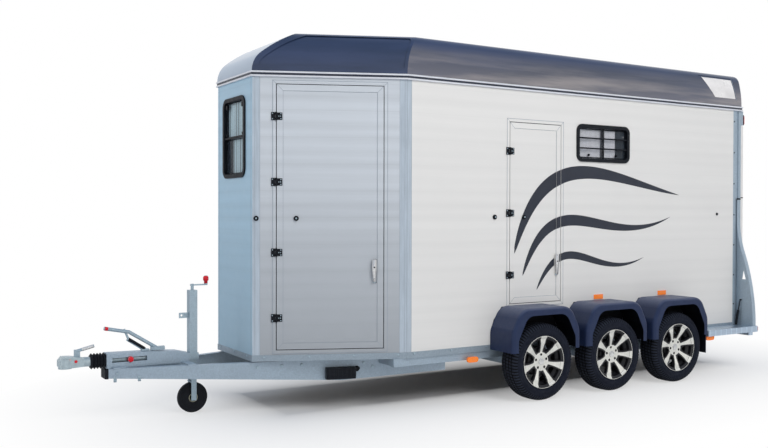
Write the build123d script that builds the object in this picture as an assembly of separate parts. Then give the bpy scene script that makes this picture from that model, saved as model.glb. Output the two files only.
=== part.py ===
from build123d import *
import math
import os

# Three-axle horse trailer with an angled front, parked on its jockey wheel.
# Lengths are millimetres and angles degrees. X points forward to the coupling, Y to the left, Z up.
# The pieces are drawn from the floor point below the front end of the side walls.

# Body shell
side_length = 3853.0
half_width = 800.0
front_run = 1053.0
front_half_width = 346.0
wall_bottom = 396.0
wall_top = 2485.0
wall_thickness = 30.0
floor_thickness = 25.0
corner_post_width = 55.0
side_post_leg = 40.0
rear_post_length = 111.0
rear_post_depth = 60.0
header_height = 135.0
sill_height = 72.0
skirt_height = 46.0
skirt_thickness = 4.0
gutter_height = 41.0
gutter_reach = 14.0
gutter_groove = 8.0
gutter_lip = 12.0

# Roof shell
roof_reach = 6.0
roof_height = 380.0
roof_edge_rise = 309.7
roof_crown_rise = 45.0
roof_edge_slope = 7.5
roof_thickness = 25.0
side_bend = (900.0, 95.0)
angled_bend = (520.0, 130.0)
recess_depth = 8.0
recess_ledge = 45.0
recess_top = 285.0
recess_nose_rim = 38.0
recess_corner_rim = 10.0
badge_recess_depth = 3.0
nose_run = 750.0
nose_radius = 180.0

# Wheels and axles
axle_pitch = 776.0
first_axle_x = -1139.0
wheel_centre_y = half_width + 158.0
tyre_radius = 308.0
tyre_width = 195.0
rim_flange_radius = 208.0
rim_seat_radius = 191.0
rim_width = 175.0
rim_wall = 7.0
rim_offset = 30.0
spoke_count = 7
spoke_turns = {"front": 0.0, "middle": 8.0, "rear": 180.0 / spoke_count}
bolt_circle = 112.0
bolt_pocket_radius = 11.0
bolt_count = 5
drum_radius = 118.0
stub_radius = 20.0
running_clearance = 0.05
seat_gap = 0.3
axle_tube = 70.0
axle_lead = 130.0
arm_thickness = 30.0

# Chassis
rail_height = 60.0
rail_width = 45.0
rail_wall = 5.0
cross_member_pitch = 545.0
cross_member_width = 60.0
chassis_front_x = 105.0
beam_front_x = 2020.0
beam_front_y = 65.0
beam_slope = 0.262
beam_rear_x = -420.0
beam_top = 385.0
beam_front_depth = 67.0
beam_deep_x = 380.0
beam_deep_depth = 163.0
beam_rear_depth = 123.0
beam_flange = 45.0
beam_wall = 5.0

# Coupling, overrun housing and handbrake
nose_x = 2347.0
ball_radius = 25.0
ball_clearance = 0.4
ball_x = 2300.0
ball_z = 432.0
housing_front_x = 2028.0
housing_rear_x = 1424.0
housing_half_width = 48.0
shaft_radius = 25.0
shaft_z = 440.0

# Jockey wheel
jockey_x = 1388.0
mast_size = 60.0
mast_top = 912.0
mast_bottom = 390.0
mast_wall = 4.0
jockey_radius = 112.5
jockey_width = 50.0
jockey_arm = 155.0

# Mudguards
guard_clearance = 44.5
guard_length = 2 * (tyre_radius + guard_clearance)
guard_top = 745.0
guard_bottom = 405.0
guard_outer_y = half_width + 288.0
guard_wall = 5.0
guard_band = 58.0
guard_shoulder = 185.0
guard_corner_radius = 130.0
guard_edge_radius = 30.0
flap_bottom_z = 235.0

# Openings, doors and windows
door_gap = 6.0
door_rim = 45.0
door_proud = 3.0
door_recess = 4.0
trim_width = 26.0
hinge_out = 11.0
hinge_knuckle = 7.0
hinge_half_height = 12.0
window_band = 30.0
window_lip = 18.0
window_proud = 12.0
pane_thickness = 5.0
pane_depth = 20.0
window_bar = 12.0

# Rear ramp, flap, step and corner plates
ramp_gap = 6.0
ramp_thickness = 34.0
ramp_top = 1642.0
flap_bottom = 1655.0
ramp_half_width = half_width - 5.0
ramp_frame = 60.0
ramp_recess = 6.0
ramp_hinge_z = 466.0
ramp_barrel = 7.0
rear_hinge_y = 560.0
step_top = 420.0
step_outer_y = half_width + 200.0
step_front_x = -side_length + 703.0
step_fold = 55.0
step_sheet = 4.0
plate_x = -side_length + 53.0
plate_foot_y = half_width + 184.0
plate_curve_top = 1430.0
plate_upper_radius = 900.0
plate_strip = 40.0
plate_flange = 45.0
plate_sheet = 4.0
plate_top = 1630.0

turn = math.atan2(half_width - front_half_width, front_run)
panel_length = math.hypot(front_run, half_width - front_half_width)
axle_z = tyre_radius
gutter_top = wall_top + gutter_height
rear_x = -side_length
ramp_inner_x = rear_x - ramp_gap
ramp_outer_x = ramp_inner_x - ramp_thickness
lamp_rear_x = ramp_outer_x - 20
flap_hinge_x = ramp_outer_x - hinge_knuckle - 1
flap_hinge_z = wall_top - header_height - door_gap / 2
frame_shift = -(nose_x + lamp_rear_x) / 2

# Walls as drawing planes: first coordinate runs along the wall, second up, third outwards
left_wall = Plane(origin=(0, half_width, 0), x_dir=(-1, 0, 0), z_dir=(0, 1, 0))
angled_wall = Plane(
    origin=(front_run, front_half_width, 0),
    x_dir=(-math.cos(turn), math.sin(turn), 0),
    z_dir=(math.sin(turn), math.cos(turn), 0),
)
front_wall = Plane(origin=(front_run, 0, 0), x_dir=(0, 1, 0), z_dir=(1, 0, 0))

# Each door: plane, first and last edge along the wall, bottom, top, hinge heights, then how far
# the handle is from the closing edge and the catch and its holder from the hinge edge
doors = {
    "front_door": dict(
        plane=angled_wall, start=178.0, end=969.0, bottom=482.0, top=2430.0,
        hinges=(714.0, 1196.0, 1714.0, 2196.0), handle_in=71.0, handle_z=1054.0,
        catch_in=142.0, holder_out=150.0, catch_z=1447.0,
    ),
    "side_door": dict(
        plane=left_wall, start=985.0, end=1525.0, bottom=760.0, top=2222.0,
        hinges=(990.0, 1490.0, 1990.0), handle_in=50.0, handle_z=1060.0,
        catch_in=145.0, holder_out=156.0, catch_z=1458.0,
    ),
}

# Each window: plane, first and last edge along the wall, bottom, top, corner radius, bars across and up
windows = [
    dict(plane=left_wall, start=1703.0, end=2327.0, bottom=1930.0, top=2250.0, corner=60.0, across=2, up=1),
    dict(plane=front_wall, start=-220.0, end=220.0, bottom=1753.0, top=2368.0, corner=70.0, across=1, up=0),
]


def block(x0, x1, y0, y1, z0, z1):
    """Box between two corners."""
    size = (abs(x1 - x0), abs(y1 - y0), abs(z1 - z0))
    return Pos((x0 + x1) / 2, (y0 + y1) / 2, (z0 + z1) / 2) * Box(*size)


def rounded_plate(x0, x1, y0, y1, z0, z1, radius):
    """Flat plate with rounded corners, seen along Z."""
    face = RectangleRounded(abs(x1 - x0), abs(y1 - y0), radius)
    return Pos((x0 + x1) / 2, (y0 + y1) / 2, z0) * extrude(face, z1 - z0)


def prism(points, plane, start, depth):
    """Polygon drawn on a plane and extruded along its normal."""
    face = make_face(Polyline(*points, close=True))
    return plane.location * Pos(0, 0, start) * extrude(face, depth)


def rod(start, end, radius):
    """Round bar between two points."""
    start, end = Vector(*start), Vector(*end)
    along = end - start
    return Plane(origin=start, z_dir=along).location * Pos(0, 0, along.length / 2) * Cylinder(radius, along.length)


def gather(pieces):
    """Pieces of one node, fused where they touch."""
    return Part() + list(pieces)


def mirrored(piece):
    """The same piece on the right side."""
    return mirror(piece, about=Plane.XZ)


def both_sides(piece):
    return gather([piece, mirrored(piece)])


def side_corner(inset):
    """Corner between side wall and angled panel, moved inwards."""
    return (-inset * math.tan(turn / 2), half_width - inset)


def front_corner(inset):
    """Corner between angled panel and front wall, moved inwards."""
    x = front_run - inset
    return (x, half_width - (inset + x * math.sin(turn)) / math.cos(turn))


def body_plan(inset, rear_inset):
    """Outline of the body from above, moved inwards."""
    left = [(rear_x + rear_inset, half_width - inset), side_corner(inset), front_corner(inset)]
    right = [(x, -y) for x, y in reversed(left)]
    return make_face(Polyline(*left, *right, close=True))


def along_panel(distance, inset=0.0):
    """Point on the left angled panel, measured backwards from the front corner."""
    point = angled_wall.location * Pos(distance, 0, -inset)
    return (point.position.X, point.position.Y)


# Wall pieces

def upright(points, bottom, top):
    """Plan polygon raised into a wall piece."""
    return Pos(0, 0, bottom) * extrude(make_face(Polyline(*points, close=True)), top - bottom)


def plain_side_wall():
    rear = rear_x + rear_post_length
    outer, inner = (-side_post_leg, half_width), (-side_post_leg, half_width - wall_thickness)
    points = [outer, (rear, half_width), (rear, half_width - wall_thickness), inner]
    return upright(points, wall_bottom, wall_top)


def plain_angled_panel():
    first, last = corner_post_width, panel_length - corner_post_width
    points = [along_panel(first), along_panel(last)]
    points += [along_panel(last, wall_thickness), along_panel(first, wall_thickness)]
    return upright(points, wall_bottom, wall_top)


def front_wall_piece():
    outer, inner = front_corner(0), front_corner(wall_thickness)
    points = [outer, inner, (inner[0], -inner[1]), (outer[0], -outer[1])]
    return upright(points, wall_bottom, wall_top)


def corner_posts():
    rear_end = panel_length - corner_post_width
    leg = [(-side_post_leg, half_width), (-side_post_leg, half_width - wall_thickness)]
    side = [side_corner(0)] + leg + [side_corner(wall_thickness)]
    side += [along_panel(rear_end, wall_thickness), along_panel(rear_end)]
    front = [front_corner(0), front_corner(wall_thickness)]
    front += [along_panel(corner_post_width, wall_thickness), along_panel(corner_post_width)]
    posts = [upright(points, wall_bottom, wall_top) for points in (side, front)]
    return gather(posts + [mirrored(post) for post in posts])


def rear_frame():
    """Posts, header and sill around the loading opening."""
    inner_y = half_width - rear_post_depth
    post = block(rear_x, rear_x + rear_post_length, inner_y, half_width, wall_bottom, wall_top)
    channel = block(rear_x + 35, rear_x + rear_post_length - 22, half_width - 8, half_width + 1, wall_bottom, wall_top)
    post = post - channel
    header = block(rear_x, rear_x + wall_thickness, -inner_y, inner_y, wall_top - header_height, wall_top)
    cover = block(ramp_outer_x, rear_x, -ramp_half_width, ramp_half_width, wall_top - header_height, wall_top)
    sill = block(rear_x, rear_x + rear_post_length, -inner_y, inner_y, wall_bottom, wall_bottom + sill_height)
    return gather([post, mirrored(post), header, cover, sill] + ramp_hinge_fixed() + flap_hinge_fixed())


def floor_deck():
    inset = wall_thickness + seat_gap
    deck = extrude(body_plan(inset, rear_post_length + seat_gap), floor_thickness)
    return Pos(0, 0, wall_bottom) * deck


def skirt_strip():
    """Folded strip round the foot of the walls."""
    ring = extrude(body_plan(-skirt_thickness, 0), skirt_height)
    ring = ring - extrude(body_plan(0, 0), skirt_height)
    ring = Pos(0, 0, wall_bottom) * ring
    behind = block(rear_x - 10, rear_x + rear_post_length, -1000, 1000, 0, 1000)
    return ring - behind


def gutter_ring():
    """Rain gutter between walls and roof, with two lips and a groove."""
    lips = []
    for start, reach in ((0, gutter_reach), (gutter_lip, gutter_groove), (gutter_height - gutter_lip, gutter_reach)):
        height = gutter_lip if start != gutter_lip else gutter_height - 2 * gutter_lip
        ring = extrude(body_plan(-reach, -reach), height)
        ring = ring - extrude(body_plan(wall_thickness, wall_thickness), height)
        lips.append(Pos(0, 0, wall_top + start) * ring)
    return gather(lips)


# Roof

def roof_edge_profile(inset, bend):
    """Edge of the roof's section: a large lower arc, then a small one that turns onto the crown."""
    large, small = bend
    lean = math.asin((roof_edge_rise - small) / (large - small))
    centre = (large - (large - small) * math.cos(lean), (large - small) * math.sin(lean))
    radius = small - inset
    crown = math.radians(roof_edge_slope)
    mid = (lean + math.pi / 2 - crown) / 2

    def on_corner(angle):
        return (centre[0] - radius * math.cos(angle), centre[1] + radius * math.sin(angle))

    low_mid = lean / 2
    side_mid = (large - (large - inset) * math.cos(low_mid), (large - inset) * math.sin(low_mid))
    return {
        "foot": (inset, 0.0),
        "side_mid": side_mid,
        "side_top": on_corner(lean),
        "corner_mid": on_corner(mid),
        "corner_top": on_corner(math.pi / 2 - crown),
    }


def roof_section(inset, width, crowned):
    """Closed section on the XY plane, X inwards from the edge: crowned, or rising in a straight line."""
    p = roof_edge_profile(inset, side_bend if crowned else angled_bend)
    start = p["corner_top"]
    rise = roof_crown_rise if crowned else (width - start[0]) * math.tan(math.radians(roof_edge_slope))
    top = (width, start[1] + rise)
    if crowned:
        crown = ThreePointArc(start, ((start[0] + width) / 2, start[1] + rise * 0.75), top)
    else:
        crown = Line(start, top)
    edges = [
        ThreePointArc(p["foot"], p["side_mid"], p["side_top"]),
        ThreePointArc(p["side_top"], p["corner_mid"], start),
        crown,
        Line(top, (width, 0)),
        Line((width, 0), p["foot"]),
    ]
    return make_face(edges)


def nose_profile(inset, rear):
    """Side view of the roof: two tangent arcs at the front, level at the top."""
    height = roof_height
    start_x = front_run + roof_reach
    half_angle = math.atan((height - nose_radius) / (nose_run - nose_radius))
    sweep = math.pi / 2 - 2 * half_angle
    step = (nose_run - nose_radius) / math.cos(sweep)
    small, large = nose_radius - inset, nose_radius + step - inset
    small_centre = (start_x - nose_radius, 0.0)
    large_centre = (small_centre[0] - step * math.cos(sweep), -step * math.sin(sweep))

    def on_arc(centre, radius, angle):
        return (centre[0] + radius * math.cos(angle), centre[1] + radius * math.sin(angle))

    high = math.pi / 2
    foot, join = on_arc(small_centre, small, 0), on_arc(small_centre, small, sweep)
    crown = on_arc(large_centre, large, high)
    edges = [
        ThreePointArc(foot, on_arc(small_centre, small, sweep / 2), join),
        ThreePointArc(join, on_arc(large_centre, large, (sweep + high) / 2), crown),
        Line(crown, (rear, crown[1])),
        Line((rear, crown[1]), (rear, 0)),
        Line((rear, 0), foot),
    ]
    return make_face(edges)


def roof_core(nose_inset, side_inset, rear):
    """Roof before its angled facets are cut, standing on the gutter's level."""
    side_view = Plane(origin=(0, 1000, 0), x_dir=(1, 0, 0), z_dir=(0, -1, 0))
    form = side_view.location * extrude(nose_profile(nose_inset, rear), 2000)
    half = side_facet_form(side_inset, rear)
    return form & gather([half, mirrored(half)])


def side_facet_form(inset, rear):
    """Left half of the crowned section, drawn along the whole body."""
    edge_y = half_width + roof_reach
    left = Plane(origin=(rear - 100, edge_y, 0), x_dir=(0, -1, 0), z_dir=(-1, 0, 0))
    return left.location * extrude(roof_section(inset, edge_y, True), -(front_run - rear_x + 600))


def angled_facet_form(inset):
    """Everything behind the left angled facet."""
    corner = (side_corner(-roof_reach)[0], side_corner(-roof_reach)[1], 0)
    inward = (-math.sin(turn), -math.cos(turn), 0)
    backward = (-math.cos(turn), math.sin(turn), 0)
    angled = Plane(origin=corner, x_dir=inward, z_dir=backward)
    wide = roof_section(inset, front_run - rear_x + 600, False)
    return angled.location * Pos(0, 0, -2000) * extrude(wide, 8000)


def roof_form(inset, rear):
    """Solid form of the roof, moved inwards."""
    cutter = angled_facet_form(inset)
    return roof_core(inset, inset, rear) & cutter & mirrored(cutter)


def angled_recess():
    """Shallow field pressed into the angled facet, with a ledge below and a rib above."""
    skin = angled_facet_form(0) - angled_facet_form(recess_depth)
    field = roof_core(recess_nose_rim, recess_corner_rim, rear_x)
    level = block(-400, front_run, 0, 1000, recess_ledge, recess_top)
    return skin & field & level


def badge_recess():
    """Slanted field near the rear end of the side facet."""
    skin = side_facet_form(0, rear_x) - side_facet_form(badge_recess_depth, rear_x)
    points = [(rear_x + 577, 270), (rear_x + 102, 268), (rear_x + 70, 56), (rear_x + 406, 58)]
    side_view = Plane(origin=(0, 1000, 0), x_dir=(1, 0, 0), z_dir=(0, -1, 0))
    return skin & prism(points, side_view, 0, 400)


def roof_shell():
    fields = gather([angled_recess(), badge_recess()])
    shell = roof_form(0, rear_x) - fields - mirrored(fields)
    inside = roof_form(roof_thickness, rear_x + roof_thickness)
    return Pos(0, 0, gutter_top) * (shell - inside)


# Doors and windows

def door_cut(door):
    gap = door_gap
    cut = block(door["start"] - gap, door["end"] + gap, door["bottom"] - gap, door["top"] + gap, -50, 50)
    return door["plane"].location * cut


def door_trim(door):
    """Raised strip on the wall round the door."""
    gap, wide = door_gap, door_gap + trim_width
    outer = block(door["start"] - wide, door["end"] + wide, door["bottom"] - wide, door["top"] + wide, 0, door_proud)
    inner = block(door["start"] - gap, door["end"] + gap, door["bottom"] - gap, door["top"] + gap, -1, 10)
    return door["plane"].location * (outer - inner)


def door_leaf(door):
    leaf = block(door["start"], door["end"], door["bottom"], door["top"], -wall_thickness, door_proud)
    rim = door_rim
    recess = block(
        door["start"] + rim, door["end"] - rim, door["bottom"] + rim, door["top"] - rim,
        door_proud - door_recess, door_proud + 1,
    )
    return door["plane"].location * (leaf - recess)


def hinge_axis(door):
    """Place of the hinge line along and out from the wall."""
    return door["start"] - door_gap / 2, hinge_out


def knuckle(door, low, high):
    along, out = hinge_axis(door)
    barrel = Plane(origin=(along, low, out), z_dir=(0, 1, 0)).location * Pos(0, 0, (high - low) / 2)
    return barrel * Cylinder(hinge_knuckle, high - low)


def hinge_fixed_half(door, height):
    along, out = hinge_axis(door)
    plate = block(along - 38, along, height - 30, height + 30, door_proud, door_proud + 4)
    free = hinge_half_height + seat_gap
    plate = plate - block(along - 9, along + 1, height - free, height + free, 0, 30)
    ends = [knuckle(door, height - 30, height - free), knuckle(door, height + free, height + 30)]
    return door["plane"].location * gather([plate] + ends)


def hinge_moving_half(door, height):
    along, out = hinge_axis(door)
    low, high = height - hinge_half_height, height + hinge_half_height
    plate = block(along + 5, along + 40, low, high, door_proud, door_proud + 4)
    web = block(along, along + 12, low, high, door_proud, out)
    return door["plane"].location * gather([plate, web, knuckle(door, low, high)])


def catch_button(plane, along, height, base):
    """Round rubber door catch."""
    button = Pos(along, height, base) * extrude(Circle(19), 8) + Pos(along, height, base + 8) * extrude(Circle(13), 8)
    return plane.location * button


def door_handle(door):
    along, height = door["end"] - door["handle_in"], door["handle_z"]
    base = door_proud - door_recess
    plate = rounded_plate(along - 17, along + 17, height - 88, height + 88, base, base + 6, 14)
    lever = rounded_plate(along - 11, along + 11, height - 70, height + 20, base + 14, base + 26, 9)
    hub = Pos(along, height + 5, base + 6) * extrude(Circle(12), 8)
    return door["plane"].location * gather([plate, hub, lever])


def fixed_hinges():
    pieces = []
    for door in doors.values():
        pieces += [hinge_fixed_half(door, height) for height in door["hinges"]]
        pieces.append(catch_button(door["plane"], door["start"] - door["holder_out"], door["catch_z"], 0))
    return gather(pieces)


def moving_hinges(door):
    pieces = [hinge_moving_half(door, height) for height in door["hinges"]]
    pieces.append(catch_button(door["plane"], door["start"] + door["catch_in"], door["catch_z"], -1))
    return gather(pieces)


def window_cut(window):
    inset = window_lip
    cut = rounded_plate(
        window["start"] + inset, window["end"] - inset, window["bottom"] + inset, window["top"] - inset,
        -50, 50, window["corner"] - inset,
    )
    return window["plane"].location * cut


def window_frame(window):
    start, end, bottom, top = window["start"], window["end"], window["bottom"], window["top"]
    radius = window["corner"]
    lip, band = window_lip + seat_gap, window_band
    flange = rounded_plate(start, end, bottom, top, 0, window_proud, radius)
    sleeve = rounded_plate(start + lip, end - lip, bottom + lip, top - lip, -wall_thickness, 0, radius - lip)
    hole = rounded_plate(start + band, end - band, bottom + band, top - band, -50, 50, radius - band)
    frame = gather([flange, sleeve]) - hole
    inner_w, inner_h = end - start - 2 * band, top - bottom - 2 * band
    bars, bar = [], window_bar / 2
    for i in range(window["across"]):
        level = bottom + band + inner_h * (i + 1) / (window["across"] + 1)
        bars.append(block(start + band - 1, end - band + 1, level - bar, level + bar, -bar, bar))
    for i in range(window["up"]):
        place = start + band + inner_w * (i + 1) / (window["up"] + 1)
        bars.append(block(place - bar, place + bar, bottom + band - 1, top - band + 1, -bar, bar))
    return window["plane"].location * gather([frame] + bars)


def window_pane(window):
    inset = window_band + seat_gap
    pane = rounded_plate(
        window["start"] + inset, window["end"] - inset, window["bottom"] + inset, window["top"] - inset,
        -pane_depth, pane_thickness - pane_depth, window["corner"] - inset,
    )
    return window["plane"].location * pane


def window_places(make):
    """The same piece for every window, with the side one mirrored."""
    side, front = windows
    return gather([make(side), mirrored(make(side)), make(front)])


def left_side_wall():
    door = doors["side_door"]
    return plain_side_wall() - window_cut(windows[0]) - door_cut(door) + door_trim(door)


def right_side_wall():
    return mirrored(plain_side_wall() - window_cut(windows[0]))


def left_angled_panel():
    door = doors["front_door"]
    return plain_angled_panel() - door_cut(door) + door_trim(door)


# Chassis

def chassis_frame():
    """Side rails of C section with cross members between them."""
    low = wall_bottom - rail_height
    front, rear = chassis_front_x, rear_x + 150
    outer = half_width - 15
    rail = block(rear, front, outer - rail_width, outer, low, wall_bottom)
    hollow = block(rear - 1, front + 1, outer - rail_width - 1, outer - rail_wall, low + rail_wall, wall_bottom - rail_wall)
    rail = rail - hollow
    pieces = [rail, mirrored(rail)]
    place = front - cross_member_width / 2
    while place > rear:
        half = cross_member_width / 2
        reach = outer - rail_wall
        pieces.append(block(place - half, place + half, -reach, reach, low + rail_wall, wall_bottom - rail_wall))
        place -= cross_member_pitch
    frame = gather(pieces)
    notch = beam_envelope()
    return frame - notch - mirrored(notch)


beam_angle = math.atan(beam_slope)
beam_plane = Plane(
    origin=(beam_front_x, beam_front_y, 0),
    x_dir=(-math.cos(beam_angle), math.sin(beam_angle), 0),
    z_dir=(math.sin(beam_angle), math.cos(beam_angle), 0),
)
beam_length = (beam_front_x - beam_rear_x) / math.cos(beam_angle)
beam_deep = (beam_front_x - beam_deep_x) / math.cos(beam_angle)


def beam_envelope():
    cut = block(-10, beam_length + 2, 0, beam_top + seat_gap, -beam_flange - 2, 2)
    return beam_plane.location * cut


def drawbar_beam():
    """Fish-bellied channel with its web outside."""
    low_front, low_deep = beam_top - beam_front_depth, beam_top - beam_deep_depth
    low_rear = beam_top - beam_rear_depth
    web = [(0, beam_top), (beam_length, beam_top), (beam_length, low_rear), (beam_deep, low_deep), (0, low_front)]
    wall = beam_wall
    top = [(0, beam_top), (beam_length, beam_top), (beam_length, beam_top - wall), (0, beam_top - wall)]
    bottom = [(0, low_front), (beam_deep, low_deep), (beam_length, low_rear)]
    bottom += [(x, z + wall) for x, z in reversed(bottom)]
    return gather([
        prism(web, beam_plane, -wall, wall),
        prism(top, beam_plane, -beam_flange, beam_flange),
        prism(bottom, beam_plane, -beam_flange, beam_flange),
    ])


def drawbar_cap():
    """Rubber cap on the front ends of the beams."""
    low = beam_top - beam_front_depth - 4
    cap = block(beam_front_x, beam_front_x + 22, -beam_front_y - 2, beam_front_y + 2, low, beam_top - 3)
    return fillet(cap.edges().filter_by(Axis.Z).sort_by(Axis.X)[-2:], 14)


def overrun_housing():
    """Long pressed channel that holds the sliding coupling shaft, on cross plates."""
    base = beam_top + seat_gap
    side = [
        (housing_front_x, base), (housing_front_x, 491), (1706, 484), (1512, 472),
        (housing_rear_x, 450), (housing_rear_x, base),
    ]
    side_plane = Plane(origin=(0, housing_half_width, 0), x_dir=(1, 0, 0), z_dir=(0, -1, 0))
    body = prism(side, side_plane, 0, 2 * housing_half_width)
    bore = shaft_radius + seat_gap
    tunnel = block(1600, housing_front_x + 1, -bore, bore, shaft_z - bore, shaft_z + bore)
    slot_window = block(1740, 1990, -60, 60, 424, 456)
    ring = Pos(housing_front_x - 20, 0, shaft_z) * Rot(0, 90, 0) * extrude(Circle(46), 20)
    body = body - tunnel - slot_window
    foot_front = block(1900, 1990, -82, 82, base, base + 8)
    foot_rear = block(1430, 1490, -215, 215, base, base + 8)
    knob = Pos(1860, housing_half_width, shaft_z) * Rot(-90, 0, 0) * extrude(Circle(20), 14)
    return gather([body, foot_front, foot_rear, knob, ring - tunnel])


def coupling_head():
    """Cast ball coupling with its socket open below, and the shaft into the housing."""
    shaft = rod((1650, 0, shaft_z), (2160, 0, shaft_z), shaft_radius)
    neck = rod((2135, 0, shaft_z), (2215, 0, shaft_z), 34)
    side = [(2180, 412), (2330, 404), (nose_x, 420), (nose_x, 462), (2325, 489), (2270, 487), (2215, 478), (2180, 470)]
    side_plane = Plane(origin=(0, 38, 0), x_dir=(1, 0, 0), z_dir=(0, -1, 0))
    head = prism(side, side_plane, 0, 76)
    dome = Pos(ball_x, 0, 404) * extrude(Circle(46), 70)
    dome = dome & block(2200, nose_x, -60, 60, 400, 500)
    radius = ball_radius + ball_clearance
    socket = Pos(ball_x, 0, ball_z) * Sphere(radius)
    mouth = Pos(ball_x, 0, 395) * extrude(Circle(radius), ball_z - 395)
    return gather([shaft, neck, head, dome]) - socket - mouth


def coupling_handle():
    base = block(2200, 2240, -8, 8, 460, 530)
    grip = rod((2220, 0, 520), (2104, 0, 548), 11)
    return gather([base, grip]) - coupling_head()


def gaiter():
    """Rubber bellows round the coupling shaft."""
    start, end, folds = housing_front_x + seat_gap, 2135.0 - seat_gap, 5
    pitch, bore = (end - start) / folds, shaft_radius + seat_gap
    points = [(start, bore)]
    for i in range(folds):
        points += [(start + i * pitch, 44), (start + (i + 0.5) * pitch, 56)]
    points += [(end, 44), (end, bore)]
    face = make_face(Polyline(*[(x - start, r) for x, r in points], close=True))
    return Pos(start, 0, shaft_z) * revolve(face, Axis.X)


def handbrake():
    """Bent lever with its strut, standing on the housing."""
    heel, bend, tip = (1654, 0, 500), (1858, 0, 629), (2034, 0, 665)
    lever = gather([rod(heel, bend, 13), Pos(*bend) * Sphere(13), rod(bend, tip, 13)])
    bracket = block(1600, 1700, -16, 16, 480, 512)
    strut = gather([rod((1742, 0, 494), (1870, 0, 580), 14), rod((1860, 0, 573), (1894, 0, 652), 8)])
    foot = block(1715, 1770, -18, 18, 484.5, 500)
    wedge = block(1590, 1800, -60, 60, 380, 486)
    return gather([lever, bracket, strut, foot]) - wedge


def jockey_mast():
    """Square outer tube of the jockey wheel with its clamp on the housing."""
    half = mast_size / 2
    tube = block(jockey_x - half, jockey_x + half, -half, half, mast_bottom, mast_top)
    bore = half - mast_wall
    tube = tube - block(jockey_x - bore, jockey_x + bore, -bore, bore, mast_bottom - 1, mast_top - 12)
    clamp = block(jockey_x - half - 8, housing_rear_x - seat_gap, -half - 8, half + 8, 400, 446)
    clamp = clamp - block(jockey_x - half, jockey_x + half, -half, half, 390, 460)
    eye_z = mast_top - 186
    tab = block(jockey_x + half, jockey_x + 101, -3, 3, eye_z - 20, eye_z + 20)
    tab = tab - Pos(jockey_x + 82, 0, eye_z) * Rot(90, 0, 0) * Cylinder(8, 20)
    return gather([tube, clamp, tab])


def jockey_crank():
    top = mast_top + seat_gap
    spindle = rod((jockey_x, 0, top), (jockey_x, 0, 958), 11)
    arm = block(1272, jockey_x + 14, -9, 9, 944, 954)
    knob = rod((1282, 0, 954), (1282, 0, 1015), 13)
    return gather([spindle, arm, knob])


def jockey_tube():
    half = mast_size / 2 - mast_wall - seat_gap
    pivot_z = jockey_radius + jockey_arm
    tube = block(jockey_x - half, jockey_x + half, -half, half, pivot_z - 16, 780)
    pin = Pos(jockey_x, 0, pivot_z) * Rot(90, 0, 0) * Cylinder(8, 96)
    return gather([tube, pin])


def jockey_fork():
    pivot_z = jockey_radius + jockey_arm
    inner, outer = 36.0, 41.0
    arm = block(jockey_x - 20, jockey_x + 20, inner, outer, jockey_radius - 20, pivot_z + 18)
    hole = Pos(jockey_x, 0, pivot_z) * Rot(90, 0, 0) * Cylinder(8 + running_clearance, 200)
    axle = Pos(jockey_x, 0, jockey_radius) * Rot(90, 0, 0) * Cylinder(8, 2 * outer)
    bridge = block(jockey_x + 16, jockey_x + 24, -outer, outer, pivot_z - 40, pivot_z - 34)
    return gather([arm - hole, mirrored(arm - hole), axle, bridge])


def jockey_wheel():
    half = jockey_width / 2
    section = [(30, -half), (80, -half + 10), (104, -half + 4), (112.5, -14), (112.5, 14), (104, half - 4)]
    section += [(80, half - 10), (30, half), (8 + running_clearance, half), (8 + running_clearance, -half)]
    face = Plane.XZ * make_face(Polyline(*section, close=True))
    wheel = revolve(face, Axis.Z)
    return Pos(jockey_x, 0, jockey_radius) * Rot(-90, 0, 0) * wheel


# Wheels

def turned(section):
    """Closed (radius, axial) section turned round Z."""
    return revolve(Plane.XZ * make_face(Polyline(*section, close=True)), Axis.Z)


def rim_window():
    """Opening between two spokes: narrow at the hub, wide and rounded at the rim."""
    points = [(76, 0), (112, 27), (184, 45), (184, -45), (112, -27)]
    face = make_face(Polyline(*points, close=True))
    face = fillet(face.vertices().sort_by(Axis.X)[-2:], 13)
    return fillet(face.vertices().sort_by(Axis.X)[0], 12)


def wheel_rim():
    """Alloy rim with seven flared spokes and the brake drum behind it."""
    half, seat, flange = rim_width / 2, rim_seat_radius, rim_flange_radius
    outside = [(flange, half), (flange, half - 7.5), (seat, half - 11.5), (seat, 45), (seat - 19, 25)]
    outside += [(seat - 19, -25), (seat, -40), (seat, 11.5 - half), (flange, 7.5 - half), (flange, -half)]
    inside = [(flange - 8, -half), (seat - rim_wall, 15 - half), (seat - rim_wall, -42)]
    inside += [(seat - 19 - rim_wall, -27), (seat - 19 - rim_wall, 27), (seat - rim_wall, 47)]
    inside += [(seat - rim_wall, half - 10), (flange - 8, half)]
    barrel = turned(outside + inside)
    face = rim_offset
    spokes = turned([(0, face), (75, face), (187, 50), (187, 76), (150, 72), (78, face + 20), (0, face + 20)])
    step = 360 / spoke_count
    for i in range(spoke_count):
        spokes = spokes - Rot(0, 0, (i + 0.5) * step) * extrude(rim_window(), 100)
    for i in range(bolt_count):
        angle = math.radians(i * 360 / bolt_count)
        place = Pos(bolt_circle / 2 * math.cos(angle), bolt_circle / 2 * math.sin(angle), face + 8)
        spokes = spokes - place * extrude(Circle(bolt_pocket_radius), 20)
    drum = turned([(0, face), (drum_radius, face), (drum_radius, -60), (0, -60)])
    bore = Pos(0, 0, -61) * extrude(Circle(stub_radius + running_clearance), 81)
    return gather([barrel, spokes, drum]) - bore


def wheel_tyre():
    half, seat = tyre_width / 2, rim_seat_radius + seat_gap
    side = [(seat, 74), (rim_flange_radius + 0.5, 77), (rim_flange_radius + 2, 88), (240, half)]
    side += [(272, half - 2), (298, half - 18), (tyre_radius, half - 50)]
    return turned(side + [(r, -a) for r, a in reversed(side)])


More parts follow.
